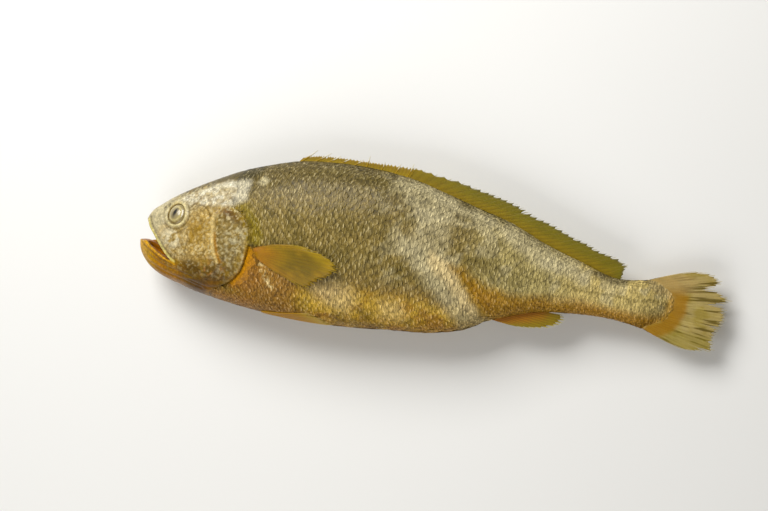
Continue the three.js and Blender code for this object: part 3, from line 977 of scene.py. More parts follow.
def headPaint(points):
    paint = bodyPaint(points)
    flat = points[:, :2]
    x, y = flat.T
    depth = flankHeight(x, y) - np.abs(points[:, 2] - middleHeight(x))
    worm = cloud(points, 1.7, 31, 2)
    line = np.abs(worm - 0.5) * 2
    cheek = smooth(12, 22, x) * (1 - smooth(70, 74, x)) * smooth(-32, -22, y) * (1 - smooth(22, 30, y))
    paint = over(paint, cheek * (1 - smooth(0.0, 0.26, line)) * 0.6, tint(104, 80, 32))
    paint = over(
        paint, cheek * smooth(0.5, 0.68, cloud(points, 1.3, 32, 2)) * (0.45 - 0.2 * smooth(-12, -22, y)),
        tint(236, 222, 178),
    )
    pale = np.exp(-(((x - 63) / 6) ** 2) - ((y + 2) / 7) ** 2)
    paint = over(paint, pale * smooth(0.42, 0.62, cloud(points, 1.7, 36, 3)) * 0.7, tint(206, 196, 160))
    pink = np.exp(-(((x - 50) / 8) ** 2) - ((y + 22) / 5) ** 2)
    paint = over(paint, pink * smooth(0.52, 0.66, cloud(points, 2.6, 37, 2)) * 0.5, tint(206, 152, 98))
    paint = over(paint, cheek * smooth(0.56, 0.7, cloud(points, 4.5, 33, 2)) * 0.45, tint(150, 122, 58))
    muscle = np.exp(-((np.hypot((x - 38) / 5.8, (y + 2.5) / 8.5)) ** 4))
    paint = over(paint, muscle * smooth(0.3, 0.55, cloud(points, 3, 38, 3)) * 0.65, tint(150, 116, 44))
    # painted shade: dark lines along the head's creases and grooves
    for creaseShade in (
        [(32, 9), (36, 12.2), (41, 12), (45.4, 8.6), (46.6, 3)], [(31, -1), (33.5, -7), (33, -14), (35, -19)],
        [(13, 0.6), (17, -3.4), (22, -5.6), (27.6, -4.6), (32.4, -0.6)],
        [(16, -4.4), (20, -8.2), (25, -9.6), (30.6, -8.2)],
        [(29.4, 8), (32, 11.4), (35.6, 15), (36, 18)], [(19, -12), (24, -14), (28.6, -13), (31, -10)],
    ):
        gap, share = gapTo(flat, evenly(creaseShade, 30))
        paint = over(
            paint, bell(gap, 0.5) * 0.6 * smooth(0, 0.2, share) * smooth(1, 0.8, share), tint(96, 74, 32),
        )
    crown = smooth(13, 20, y - 0.1 * x) * patch(flat, zones["headSilver"], 1.5)
    paint = over(paint, crown * smooth(0.5, 0.66, cloud(points, 3.4, 34, 3)) * 0.5, tint(238, 232, 210))
    paint = over(paint, crown * smooth(0.58, 0.68, cloud(points, 2.2, 35, 2)) * 0.35, tint(138, 122, 78))
    under = np.exp(-((np.hypot((x - 22) / 9, (y + 9) / 6)) ** 4))
    paint = over(paint, under * smooth(0.42, 0.58, cloud(points, 2.4, 39, 3)) * 0.7, tint(224, 214, 182))
    rim = [(49.6, 8), (48.3, 5.6), (49.4, 0), (50.3, -5.7), (52.2, -12.5), (54.6, -17)]
    paint = over(paint, stroke(flat, evenly(rim, 40), 1.6, 1.2) * 0.8, tint(232, 206, 146))
    groove = [(50.6, 2), (51.0, -2), (52.2, -7), (54, -12.5), (56.4, -17)]
    gap, share = gapTo(flat, evenly(groove, 40))
    paint = over(paint, bell(gap, 0.75) * smooth(0, 0.45, share) * 0.8, tint(182, 128, 50))
    behind, along = behindGill(flat)
    free = lipShare(along)
    # painted shade just behind the gill cover's free edge, stronger towards its lower end
    paint = over(paint, free * smooth(-0.3, 0.6, behind) * (0.1 + 0.4 * smooth(-4, -16, y)), tint(104, 74, 18))
    ring = eyeRing(x, y)
    side = 0.45 + 0.4 * smooth(-6, 6, x - head["eyeX"] - 0.6 * (y - head["eyeY"]))
    paint = layers(
        paint,
        (bell(ring - 1.1, 0.12) * side, tint(228, 214, 164)),
        # painted shadow along the groove round the eye, darker on its lower rear side
        (bell(ring - 1.42, 0.08) * (0.25 + 0.5 * smooth(2, -4, y - x + 17)), tint(104, 86, 44)),
        # painted shade in the socket, between the eyeball and the skin
        (smooth(0.99, 0.93, ring) * (depth < 6) * (ring < 1.0), tint(150, 128, 78)),
    )
    # painted shade in the nostrils' pits
    for spot, _, _, size in head["nostrils"]:
        paint = over(paint, bell(np.hypot(x - spot[0], y - spot[1]), size) * 0.8, tint(84, 74, 44))
    paint = over(paint, stroke(flat, evenly(upperLip, 40), 1.3, 0.6) * 0.85, colours["lip"])
    # painted shade: a thin dark line in the crease behind the upper lip
    lipBackShade = [(3.2, 0.4), (6.4, -3.6), (11, -8.2), (15.2, -12.2), (19.2, -16), (23.4, -19.4)]
    paint = over(paint, stroke(flat, evenly(lipBackShade, 40), 0.6, 0.6) * 0.7, tint(96, 80, 36))
    paint = over(paint, stroke(flat, evenly(lowerLip, 40), 1.5, 0.8) * 0.8, tint(208, 158, 56))
    below = curveY(upperLip, np.clip(x - 0.25 * depth, 2.4, 25)) - y
    inMouth = smooth(1.2, 3.6, depth) * (1 - smooth(36, 44, x)) * smooth(-32, -28, y) * (1 - smooth(-2, 2, y))
    paint = over(paint, inMouth, colours["red"])
    tissue = smooth(2.4, 4.8, below + 2.2 * (cloud(points, 3, 44) - 0.5)) * smooth(3, 7, x)
    paint = layers(
        paint,
        (inMouth * tissue * 0.85, tint(196, 118, 50)),
        (inMouth * tissue * smooth(0.5, 0.64, cloud(points, 1.8, 45, 2)) * 0.6, tint(226, 168, 96)),
        (inMouth * smooth(5.6, 7.6, below) * 0.7, tint(190, 126, 26)),
    )
    # painted shade: a dark line in the groove between the ridges of the lower jaw
    seamShade = [(2.4, -16.4), (6, -17.6), (11, -19.8), (17, -22.2), (24, -24)]
    paint = over(paint, stroke(flat, evenly(seamShade, 40), 0.5, 0.6) * 0.7, tint(92, 56, 10))
    return paint


# trunk
trunk = {
    "start": 38.0,
    "step": 1.05,
    "end": 302.0,
    "columns": 220,
    "under": 0.12,        # how far its skin lies under the scales' feet
}


def sinkAtGill(flat):  # the trunk's skin goes down under the head in front of the gill cover's edge
    behind, along = behindGill(flat)
    free = lipShare(along)
    return free * 1.5 * smooth(2.2, -0.8, behind) + (1 - free) * 1.8 * smooth(-1, -6, behind)


def makeTrunk():
    around = trunk["columns"]
    steps = np.arange(trunk["start"], trunk["end"], trunk["step"])
    rows = np.concatenate([placeAtX(steps), np.linspace(lastPlace - 0.6, lastPlace, 8)])
    points = hullPoints(rows, around)
    tip = points[-around:].copy()
    tip[:, 0] += 0.6
    tip[:, 2] = middleHeight(tip[:, 0]) + (tip[:, 2] - middleHeight(tip[:, 0])) * 0.3
    points = tailTaper(np.vstack([points, tip]))
    count = len(rows) + 1
    faces = gridFaces(count, around, True)
    faces += [tuple(range(around)), tuple(range((count - 1) * around, count * around))]
    item = outward(makeObject("trunk", toRow(points), faces, skinFinish))
    mesh = item.data
    points = fishPoints(mesh)
    points = points - meshNormals(mesh) * (sinkAtGill(points[:, :2]) + trunk["under"])[:, None]
    settle(points)
    setPoints(mesh, toRow(points))
    # painted shade: the skin under the scales, seen between them, is painted darker; the bare fold at the
    # pectoral fin's root keeps its full colour
    bare = patch(points[:, :2], zones["axil"], 1.0)[:, None]
    storeColour(mesh, "paint", bodyPaint(points) * (0.62 + 0.38 * bare))
    return item


# scales, laid in rows that run level with the lateral line
scales = {
    "pitch": 4.2,        # along a row
    "row": 5.0,          # from one row to the next but one, the rows between being offset
    "length": 1.8,       # of a scale, in pitches
    "width": 1.2,        # of a scale, in rows
    "lift": 0.26,        # of the free edge, in mm
    "tilt": 0.022,
    "start": 50.0,       # x of the first column
    "end": 304.2,        # x past which none grow
    "ringSteps": 400,    # places measured round the flank in each column
    "seed": 5,
}


def scaleShape():
    points, along, across = [], [], []
    steps, crosswise = (0, 0.36, 0.6, 0.8, 0.92, 1.0), 5
    for u in steps:
        wide = max(0.0, 1 - abs(2 * (0.04 + 0.86 * u) - 1) ** 2.4) ** 0.5
        for j in range(crosswise + 1):
            v = 2 * j / crosswise - 1
            rise = -0.5 + 1.2 * u**0.8 - 0.7 * v * v * (0.4 + 0.6 * u)
            points.append((-0.55 + u - 0.16 * v * v * u, 0.5 * v * wide, rise))
            along.append(u)
            across.append(v)
    for j in range(crosswise + 1):
        x, y, z = points[(len(steps) - 1) * (crosswise + 1) + j]
        points.append((x - 0.02, y * 0.97, z - 0.9))
        along.append(1.0)
        across.append(2 * j / crosswise - 1)
    item = makeObject("scaleShape", points, gridFaces(len(steps) + 1, crosswise + 1))
    storeNumber(item.data, "along", along)
    storeNumber(item.data, "across", across)
    return item


def scalePlaces(side):
    places, turns, spreads = [], [], []
    order = np.random.default_rng(scales["seed"] + (0 if side > 0 else 1))
    x, column, count = scales["start"], 0, scales["ringSteps"]
    angles = np.linspace(0, math.pi, count)
    while x < scales["end"] + 0.4:
        shrink = 0.96 - 0.44 * float(smooth(180, 280, x)) - 0.3 * float(smooth(100, 58, x))
        pitch, row = scales["pitch"] * shrink, scales["row"] * shrink
        ring = skinAt(np.full(count, float(placeAtX(x))), angles, side)
        ahead = skinAt(np.full(count, float(placeAtX(min(x + 1.0, stalk["lastX"])))), angles, side)
        arc = np.concatenate([[0], np.cumsum(np.linalg.norm(np.diff(ring, axis=0), axis=1))])
        zero = np.interp(-float(curveY(lateralLine, x)), -ring[:, 1], arc)
        for k in range(math.ceil(-zero / row) - 1, math.floor((arc[-1] - zero) / row) + 1):
            d = zero + (k + 0.5 * (column % 2)) * row + float(order.normal(0, 0.2))
            if not 0 <= d <= arc[-1]:
                continue
            p, q, o, forward = (
                np.array([np.interp(at, arc, source[:, i]) for i in range(3)])
                for at, source in (
                    (d, ring), (min(d + 0.6, arc[-1]), ring), (max(d - 0.6, 0), ring), (d, ahead),
                )
            )
            forward = forward - p if x < stalk["lastX"] - 1 else np.array([1.0, 0, 0])
            forward /= np.linalg.norm(forward)
            normal = np.cross(q - o, forward) * side
            normal /= np.linalg.norm(normal)
            normal = normal + order.normal(0, scales["tilt"], 3)
            normal -= forward * (normal @ forward) * 0.4
            normal /= np.linalg.norm(normal)
            forward = forward - normal * (forward @ normal)
            forward /= np.linalg.norm(forward)
            places.append(p + forward * float(order.normal(0, 0.22)))
            turns.append((forward, np.cross(normal, forward), normal))
            size = float(order.uniform(0.92, 1.1))
            lift = scales["lift"] * float(order.uniform(0.7, 1.3)) * shrink
            spreads.append((pitch * scales["length"] * size, row * scales["width"] * size, lift))
        x += pitch / 2
        column += 1
    return np.array(places), turns, np.array(spreads)


def growScales():
    g = Growth(
        "growScales",
        [("Shape", "NodeSocketObject"), ("Seed", "NodeSocketInt"), ("Finish", "NodeSocketMaterial")],
    )
    shapeNode = g.node("GeometryNodeObjectInfo", Object=g.entry.outputs["Shape"])
    turn = g.node("FunctionNodeEulerToRotation", Euler=g.named("turn", "FLOAT_VECTOR"))
    laid = g.node(
        "GeometryNodeInstanceOnPoints",
        Points=g.entry.outputs["Geometry"], Instance=shapeNode.outputs["Geometry"],
        Rotation=turn.outputs[0], Scale=g.named("spread", "FLOAT_VECTOR"),
    )
    chance = g.node("FunctionNodeRandomValue", Seed=g.entry.outputs["Seed"])
    chanceOut = next(s for s in chance.outputs if s.enabled)
    settings = {"data_type": "FLOAT", "domain": "INSTANCE"}
    stored = g.node(
        "GeometryNodeStoreNamedAttribute", settings, Geometry=laid.outputs[0], Name="chance", Value=chanceOut,
    )
    real = g.node("GeometryNodeRealizeInstances", Geometry=stored.outputs[0])
    painted = g.node("GeometryNodeSetMaterial", Geometry=real.outputs[0], Material=g.entry.outputs["Finish"])
    g.tree.links.new(painted.outputs[0], g.exit.inputs[0])
    return g


def makeScales(side, growth, shape):
    places, turns, spreads = scalePlaces(side)
    flat = places[:, :2]
    behind, along = behindGill(flat)
    bare = patch(flat, zones["axil"], 0.5) > 0.5
    chosen = np.nonzero(~bare & (behind > 0.4 + 1.6 * lipShare(along)) & (places[:, 0] < scales["end"]))[0]
    eulers = np.array([Matrix(np.column_stack(turns[i]).tolist()).to_euler("XYZ") for i in chosen])
    item = makeObject("scaleSeeds", toRow(places[chosen]), [])
    for label, values in (("turn", eulers), ("spread", spreads[chosen] * mm)):
        item.data.attributes.new(label, "FLOAT_VECTOR", "POINT").data.foreach_set("vector", values.ravel())
    name = "scales." + ("left" if side > 0 else "right")
    item = growth.grow(item, name, {"Shape": shape, "Seed": scales["seed"], "Finish": scaleFinish})
    mesh = item.data
    points = tailTaper(fishPoints(mesh))
    settle(points, 0.05, 0.3)
    setPoints(mesh, toRow(points))
    storeColour(mesh, "paint", bodyPaint(points))
    shadeSmooth(mesh)
    mesh.calc_loop_triangles()
    print(name, len(chosen), "scales,", len(mesh.loop_triangles), "triangles")
    return item


# eyes
eye = {
    "radius": 7.5,
    "flatness": 0.76,
    "iris": tint(158, 144, 104),
    "irisEdge": tint(206, 190, 134),
    "haze": tint(140, 128, 98),
    "pupil": tint(16, 15, 14),
    "pupilTilt": -0.2,
}


def eyeFinish():
    f = Finish("eyeBall")
    paint = f.colour("paint")
    grain = f.noise(1500, (1, 1, 1), 3, 0.6)
    shade = 0.82 + grain * 0.36
    return f.finish(
        Base_Color=f.shaded(paint, shade), Roughness=0.35, Coat_Weight=0.6, Coat_Roughness=0.08,
        Normal=f.bump(grain, 0.1, 0.0003), Subsurface_Weight=0.1, Subsurface_Radius=(
            0.002, 0.002, 0.002,
        ), Subsurface_Scale=0.3,
    )


def makeEye(side, node, finish):
    centre, normal = eyeSpot(side)
    aside = np.cross([0, 1, 0], normal) * side
    aside /= np.linalg.norm(aside)
    rise = np.cross(normal, aside) * side
    rings, around = 72, 96
    points, paint = [], []
    for i in range(rings + 1):
        a = math.pi * i / rings
        for j in range(around):
            b = 2 * math.pi * j / around
            across, up, out = math.sin(a) * math.cos(b), math.sin(a) * math.sin(b), math.cos(a)
            r = math.sin(a) if a < math.pi / 2 else 2 - math.sin(a)
            dent = 0.25 * math.exp(-(((r - 0.62) / 0.07) ** 2)) + 0.2 * math.exp(-(((r - 0.86) / 0.06) ** 2))
            local = np.array([across, up, out * eye["flatness"]]) * (eye["radius"] - dent)
            points.append(centre + aside * local[0] + rise * local[1] + normal * local[2])
            paint.append((across, up, r))
    points, local = np.array(points), np.array(paint)
    u, v, r = local.T
    c, s = math.cos(eye["pupilTilt"]), math.sin(eye["pupilTilt"])
    pu, pv = (u - 0.04) * c + (v - 0.04) * s, -(u - 0.04) * s + (v - 0.04) * c
    paint = plain(r, eye["iris"])
    rough = cloud(points, 1.1, 41, 3)
    paint = layers(
        paint,
        (smooth(0.42, 0.62, rough) * 0.4, tint(128, 112, 70)),
        (bell(r - 0.56, 0.075) * 0.9, eye["irisEdge"]),
        # a brown ring all round, darker towards its lower left as painted shadow
        (
            bell(r - 0.73 + 0.1 * (rough - 0.5), 0.06) * (0.45 + 0.45 * smooth(0.2, -0.6, u + v)),
            tint(112, 92, 48),
        ),
        (smooth(0.8, 0.88, r) * 0.8, tint(176, 158, 108)),
    )
    lower = smooth(0.1, -0.5, v + u * 0.5)
    paint = over(paint, (1 - smooth(0.3, 0.5, r)) * (0.45 + 0.4 * lower), eye["haze"])
    dark = np.hypot(pu / 0.16, pv / 0.36)
    paint = over(paint, (1 - smooth(0.8, 1.7, dark)) * 0.55, tint(88, 80, 66))
    paint = over(paint, (1 - smooth(0.55, 1.05, dark)) * (1 - 0.45 * smooth(0.0, -0.3, pv)), eye["pupil"])
    item = makeObject(
        "eyeBall." + ("left" if side > 0 else "right"), toRow(points), gridFaces(rings + 1, around, True),
        finish,
    )
    storeColour(item.data, "paint", paint)
    outward(item)
    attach(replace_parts(item, node), "root")
    return item


# fins: a thin closed sheet carried by rays
fins = {
    "raySteps": 18,        # places along each ray
    "edgeThickness": 0.35,  # of the skin, as a share of its thickness at the root
    "tornShare": 0.14,     # of the gaps between rays, where the skin is torn further back
    "tear": (0.05, 0.16),
    "raySides": 8,
}


def finRays(roots, tips, bend, count=fins["raySteps"]):  # each ray as a curve from its root to its tip
    roots, tips = np.asarray(roots, float), np.asarray(tips, float)
    t = np.linspace(0, 1, count)
    aside = np.column_stack([-(tips - roots)[:, 1], (tips - roots)[:, 0]])
    middle = (roots + tips) / 2 + aside * np.asarray(bend).reshape(-1, 1)
    t = t[None, :, None]
    return (1 - t) ** 2 * roots[:, None] + 2 * t * (1 - t) * middle[:, None] + t**2 * tips[:, None]


def finSheet(name, rays, between, reach, thick, heightAt, paintAt, seed):
    # between is how many columns lie from one ray to the next; reach is how far the skin goes between rays
    count, steps = rays.shape[:2]
    columns = (count - 1) * between + 1
    where = np.linspace(0, count - 1, columns)
    lower = np.clip(where.astype(int), 0, count - 2)
    share = where - lower
    mixed = rays[lower] * (1 - share)[:, None, None] + rays[lower + 1] * share[:, None, None]
    off = np.minimum(share, 1 - share) * 2
    order = np.random.default_rng(seed)
    gaps = reach - order.uniform(0, 0.05, count)
    gaps = gaps - (order.random(count) < fins["tornShare"]) * order.uniform(*fins["tear"], count)
    extent = 1 - (1 - gaps[lower]) * np.sin(off * math.pi / 2) ** 0.8
    extent = extent - 0.012 * order.random(columns)
    t = np.linspace(0, 1, steps)
    flat = np.empty((columns, steps, 2))
    for i in range(columns):
        place = t * extent[i]
        for axis in (0, 1):
            flat[i, :, axis] = np.interp(place, t, mixed[i, :, axis])
    ridge = 0.5 + 0.5 * np.cos(off * math.pi)
    half = thick * (0.86 + 0.14 * ridge[:, None]) * (1 - (1 - fins["edgeThickness"]) * t[None, :])
    half = half * np.where(t > 0.985, fins["edgeThickness"], 1)[None, :]
    flatPoints = flat.reshape(-1, 2)
    z = heightAt(flatPoints)
    top = np.column_stack([flatPoints, z + half.ravel()])
    bottom = np.column_stack([flatPoints, z - half.ravel()])
    faces = gridFaces(columns, steps)
    n = columns * steps
    faces += [tuple(n + i for i in reversed(f)) for f in gridFaces(columns, steps)]
    rim = [i * steps for i in range(columns)] + [(columns - 1) * steps + j for j in range(1, steps)]
    rim += [i * steps + steps - 1 for i in range(columns - 2, -1, -1)] + [j for j in range(steps - 2, 0, -1)]
    faces += [(a, b, n + b, n + a) for a, b in zip(rim, rim[1:] + rim[:1])]
    points = np.vstack([top, bottom])
    points[:, 2] = np.maximum(points[:, 2], fish["floorGap"])
    item = makeObject(name, toRow(points), faces, finFinish)
    local = np.column_stack([np.repeat(where, steps), np.tile(t, columns), np.repeat(ridge, steps)])
    local = np.vstack([local, local])
    local[:, 1] *= np.concatenate([np.repeat(extent, steps)] * 2)
    storeColour(item.data, "paint", paintAt(points, local))
    return outward(item)


def growRays():
    g = Growth("growRays", [("Sides", "NodeSocketInt"), ("Finish", "NodeSocketMaterial")])
    curve = g.node("GeometryNodeMeshToCurve", Mesh=g.entry.outputs["Geometry"])
    sized = g.node("GeometryNodeSetCurveRadius", Curve=curve.outputs[0], Radius=g.named("thick"))
    ring = g.node("GeometryNodeCurvePrimitiveCircle", Resolution=g.entry.outputs["Sides"], Radius=1.0)
    body = g.node(
        "GeometryNodeCurveToMesh", Curve=sized.outputs[0], Profile_Curve=ring.outputs[0], Fill_Caps=True,
    )
    scaleSlot = body.inputs.get("Scale")  # where the node has one, the thickness goes in there too
    if scaleSlot is not None:
        g.tree.links.new(g.named("thick"), scaleSlot)
    real = g.node("GeometryNodeRealizeInstances", Geometry=body.outputs[0])
    painted = g.node("GeometryNodeSetMaterial", Geometry=real.outputs[0], Material=g.entry.outputs["Finish"])
    g.tree.links.new(painted.outputs[0], g.exit.inputs[0])
    return g


rayGrowth = growRays()


def finTubes(name, rays, radius, heightAt, colourAt, split=0.45, spread=0.16):
    # the rays themselves; past the split each one runs as two
    points, edges, sizes, local = [], [], [], []
    count, steps = rays.shape[:2]
    t = np.linspace(0, 1, steps)
    for i in range(count):
        neighbour = rays[min(i + 1, count - 1)] - rays[max(i - 1, 0)]
        for branch in ((0,) if split >= 1 else (-1, 1)):
            first = len(points)
            for k in range(steps):
                apart = branch * spread * float(smooth(split, 1.0, t[k])) * 0.5 if branch else 0.0
                p = rays[i, k] + neighbour[k] * apart
                points.append(p)
                sizes.append(radius * (1 - 0.72 * t[k] ** 1.5))
                local.append((i, t[k], 1.0))
                if k:
                    edges.append((first + k - 1, first + k))
    flat = np.array(points)
    full = np.column_stack([flat, heightAt(flat)])
    full[:, 2] = np.maximum(full[:, 2], fish["floorGap"] + np.array(sizes))
    mesh = bpy.data.meshes.new("rayLines")
    mesh.from_pydata([tuple(p) for p in toRow(full)], edges, [])
    item = bpy.data.objects.new("rayLines", mesh)
    bpy.context.scene.collection.objects.link(item)
    storeNumber(mesh, "thick", np.array(sizes) * mm)
    storeColour(mesh, "paint", colourAt(full, np.array(local)))
    item = rayGrowth.grow(item, name, {"Sides": fins["raySides"], "Finish": rayFinish})
    shadeSmooth(item.data)
    return item


def midPlane(flat):
    return middleHeight(flat[:, 0])


def keep(item, node):
    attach(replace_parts(item, node), "root")


def striped(local, paint, dark, strength):  # fine dark lines between the rays
    wave = 0.5 + 0.5 * np.cos(local[:, 0] * 2 * math.pi)
    return over(paint, (1 - wave) * strength, dark)


# soft dorsal fin
softDorsal = {
    "rays": 34,
    "root": [
        (150, 44.2), (165, 40.8), (180, 37.0), (195, 33.0), (210, 29), (225, 23.8), (240, 17.8), (255, 13.2),
        (272, 8.0),
    ],
    "edge": [
        (156, 52.6), (168.9, 50.8), (181, 49.2), (192.7, 46.8), (205.2, 44.3), (216.9, 41.2), (227.8, 36.6),
        (238.9, 33.4), (248.4, 29.3), (257.7, 26.7), (266.2, 23.4), (274.7, 21.6), (281, 18.4), (280.4, 14.6),
        (278, 11.4),
    ],
}


def makeSoftDorsal():
    n = softDorsal["rays"]
    s = np.linspace(0, 1, n)
    roots = curveShare(softDorsal["root"], s)
    lean = 6 + 18 * smooth(150, 176, roots[:, 0])
    edge = evenly(softDorsal["edge"][:13], 300)
    tipX = np.minimum(roots[:, 0] + lean, 281.5)
    tipY = np.interp(tipX, edge[:, 0], edge[:, 1])
    late = smooth(255, 272, roots[:, 0])
    tips = np.column_stack([tipX - 2.5 * late, tipY * (1 - late) + late * (20 - (roots[:, 0] - 256) * 0.55)])
    rays = finRays(roots, tips, -0.05)

    def paintAt(points, local):
        t = local[:, 1]
        paint = plain(points, tint(146, 124, 28))
        green = smooth(150, 196, points[:, 0])
        paint = layers(
            paint,
            (
                smooth(0.3, 0.75, t + 0.2 * (cloud(points, 6, 51) - 0.5)) * (0.3 + 0.7 * green),
                tint(120, 110, 42),
            ),
            (smooth(0.8, 0.98, t) * green, tint(98, 94, 56)),
            ((1 - smooth(0.0, 0.12, t)) * 0.5, tint(196, 160, 70)),
            (smooth(0.93, 1.0, t) * smooth(0.3, 0.8, local[:, 2]) * 0.6, tint(220, 212, 184)),
        )
        return striped(local, paint, tint(92, 78, 20), 0.3)

    def rayPaint(points, local):
        paint = plain(points, tint(164, 140, 44))
        paint = over(paint, smooth(0.4, 0.85, local[:, 1]), tint(134, 124, 62))
        return over(paint, smooth(0.88, 1.0, local[:, 1]), tint(226, 220, 198))

    keep(finSheet("softDorsalSkin", rays, 6, 0.93, 0.3, midPlane, paintAt, 3), "soft_dorsal_fin")
    keep(
        finTubes("softDorsalRays", rays, 0.27, midPlane, rayPaint, split=0.12, spread=0.5), "soft_dorsal_fin",
    )


# spiny dorsal fin
spinyDorsal = {
    "root": [(84, 42.6), (96, 44.6), (110, 46), (126, 46), (140, 45.2), (151.5, 43.4)],
    "edge": [(90, 48.8), (100, 51.0), (111, 51.6), (126, 51.8), (140, 52.2), (156, 52.4)],
    "tips": [
        (97.5, 53.6), (105.6, 53), (111.5, 52.3), (117.5, 51.9), (125, 52.4), (128.6, 54.9), (137.8, 53),
        (147, 53.2), (154.5, 54.4),
    ],
}


def makeSpinyDorsal():
    tips = np.array(spinyDorsal["tips"])
    roots = curveShare(spinyDorsal["root"], np.linspace(0.01, 0.97, len(tips)))
    n = 40
    edge = evenly(spinyDorsal["edge"], n)
    base = curveShare(spinyDorsal["root"], np.linspace(0, 0.99, n))
    rays = finRays(base, edge, -0.06, 12)

    def paintAt(points, local):
        paint = plain(points, tint(166, 142, 28))
        paint = over(
            paint, smooth(0.35, 0.8, local[:, 1] + 0.3 * (cloud(points, 5, 61) - 0.5)), tint(146, 122, 24),
        )
        paint = over(paint, smooth(0.9, 1, local[:, 1]) * 0.5, tint(206, 190, 120))
        return striped(local, paint, tint(118, 92, 14), 0.3)

    def rayPaint(points, local):
        paint = plain(points, tint(166, 136, 34))
        return over(paint, smooth(0.58, 0.75, local[:, 1]), tint(236, 230, 208))

    keep(finSheet("spinyDorsalSkin", rays, 4, 0.9, 0.4, midPlane, paintAt, 5), "spiny_dorsal_fin")
    keep(
        finTubes("spinyDorsalSpines", finRays(roots, tips, -0.04), 0.62, midPlane, rayPaint, split=1.0),
        "spiny_dorsal_fin",
    )


# anal fin
analFin = {
    "rays": 12,
    "root": [(207, -22.6), (212, -20.4), (218, -18), (224, -15.6), (231, -13.8)],
    "edge": [
        (227, -24.9), (233, -24.6), (237, -23.9), (242.9, -22.8), (247.6, -20.7), (250.5, -18.8),
        (251.5, -16.2), (250, -14.4),
    ],
}


def makeAnalFin():
    n = analFin["rays"]
    rays = finRays(evenly(analFin["root"], n), evenly(analFin["edge"], n), -0.03)

    def paintAt(points, local):
        paint = plain(points, tint(176, 120, 14))
        paint = over(
            paint, smooth(0.3, 0.8, local[:, 1] + 0.2 * (cloud(points, 5, 71) - 0.5)), tint(142, 124, 22),
        )
        paint = over(paint, smooth(0.9, 1, local[:, 1]) * 0.6, tint(196, 186, 120))
        return striped(local, paint, tint(112, 72, 8), 0.3)

    def rayPaint(points, local):
        paint = plain(points, tint(206, 152, 40))
        paint = over(paint, smooth(0.4, 0.85, local[:, 1]), tint(176, 160, 50))
        return over(paint, smooth(0.9, 1.0, local[:, 1]) * 0.8, tint(226, 220, 190))

    keep(finSheet("analSkin", rays, 8, 0.93, 0.36, midPlane, paintAt, 7), "anal_fin")
    keep(finTubes("analRays", rays, 0.34, midPlane, rayPaint), "anal_fin")


# tail fin
tailFin = {
    "rays": 30,
    "centre": (237.0, 0.5),
    "edge": [  # bearing in degrees, and reach
        (-15.0, 78.8), (-15.1, 84), (-14.2, 89.1), (-12.7, 94.3), (-11.6, 99.5), (-11.2, 96.9), (-9.8, 97),
        (-7.9, 95.9),
        (-5.2, 97.6), (-2.7, 99.4), (-0.6, 99.7), (2.1, 98.6), (3.2, 93.5), (3.7, 90.2), (4.2, 102.1),
        (5.2, 99.9), (7.6, 93), (8.8, 88.2), (9.4, 97),
        (11.5, 94.4), (13.5, 90), (14.2, 84.5),
    ],
}


def makeTailFin():
    n = tailFin["rays"]
    edge = np.array(tailFin["edge"])
    bearing = np.linspace(edge[0, 0], edge[-1, 0], n)
    reach = np.interp(bearing, edge[:, 0], edge[:, 1])
    turn = np.radians(bearing)
    centre = np.array(tailFin["centre"])
    tips = centre + np.column_stack([np.cos(turn), np.sin(turn)]) * reach[:, None]
    share = np.linspace(-1, 1, n)
    roots = np.column_stack([299.5 - 5.5 * share**2, 0.2 + share * 13.2 - 0.8])
    rays = finRays(roots, tips, 0.05 * share, 26)

    def paintAt(points, local):
        y, t = points[:, 1], local[:, 1]
        paint = plain(points, tint(178, 160, 108))
        paint = over(paint, smooth(0.5, 0.68, cloud(points, 7, 81)) * 0.6, tint(150, 132, 58))
        streak = cloud(np.column_stack([local[:, 0] * 1.6, t * 2.4]), 1.0, 82, 2)
        paint = over(paint, smooth(0.54, 0.64, streak) * smooth(0.25, 0.5, t) * 0.9, tint(96, 82, 34))
        paint = over(
            paint, smooth(0.6, 0.72, cloud(np.column_stack([local[:, 0] * 1.2, t * 3.4]), 1.0, 84, 2)) * 0.4,
            tint(206, 188, 128),
        )
        flat = points[:, :2] + (cloud(points, 3, 83)[:, None] - 0.5) * 2
        paint = layers(
            paint,
            (
                stroke(flat, evenly(tailBand, 50), 7.0, 2.2) * (0.85 - 0.5 * smooth(6, 12, y)),
                tint(158, 114, 42),
            ),
            (smooth(-10, -15, y) * smooth(0.2, 0.5, t) * 0.4, tint(140, 128, 50)),
            (smooth(6, 12, y) * (1 - smooth(0.5, 0.8, t)) * 0.6, tint(188, 162, 112)),
            (smooth(0.93, 1, t) * 0.45, tint(216, 206, 160)),
        )
        return striped(local, paint, tint(120, 98, 42), 0.12)

    def rayPaint(points, local):
        paint = plain(points, tint(192, 174, 124))
        paint = over(
            paint,
            stroke(points[:, :2], evenly(tailBand, 50), 6.2, 2.2) * (0.8 - 0.6 * smooth(5, 11, points[:, 1])),
            tint(170, 124, 50),
        )
        return over(paint, smooth(0.9, 1.0, local[:, 1]) * 0.6, tint(226, 216, 180))

    keep(finSheet("tailSkin", rays, 6, 0.965, 0.42, midPlane, paintAt, 11), "tail_fin")
    keep(finTubes("tailRays", rays, 0.33, midPlane, rayPaint, split=0.2, spread=0.5), "tail_fin")


# pectoral fins
pectoral = {
    "rays": 15,
    "lift": 0.5,           # of its root off the flank
    "tipLift": 3.0,
    "liftFrom": 77.0,
    "liftOver": 52.0,
    "farLift": 0.7,        # of the far fin off the floor
    "root": [(76.4, -5.8), (76.9, -7.6), (77.9, -9.5), (79.8, -11.4)],
    "edge": [
        (100, -0.4), (107.4, 0.1), (113.8, -1.4), (120.2, -3.1), (125.9, -6.4), (128.8, -9.5), (125.5, -12),
        (121, -15.4),
        (115.8, -19.0), (111.9, -22), (106.4, -22.4), (100.6, -19.6), (94, -17.6),
    ],
}


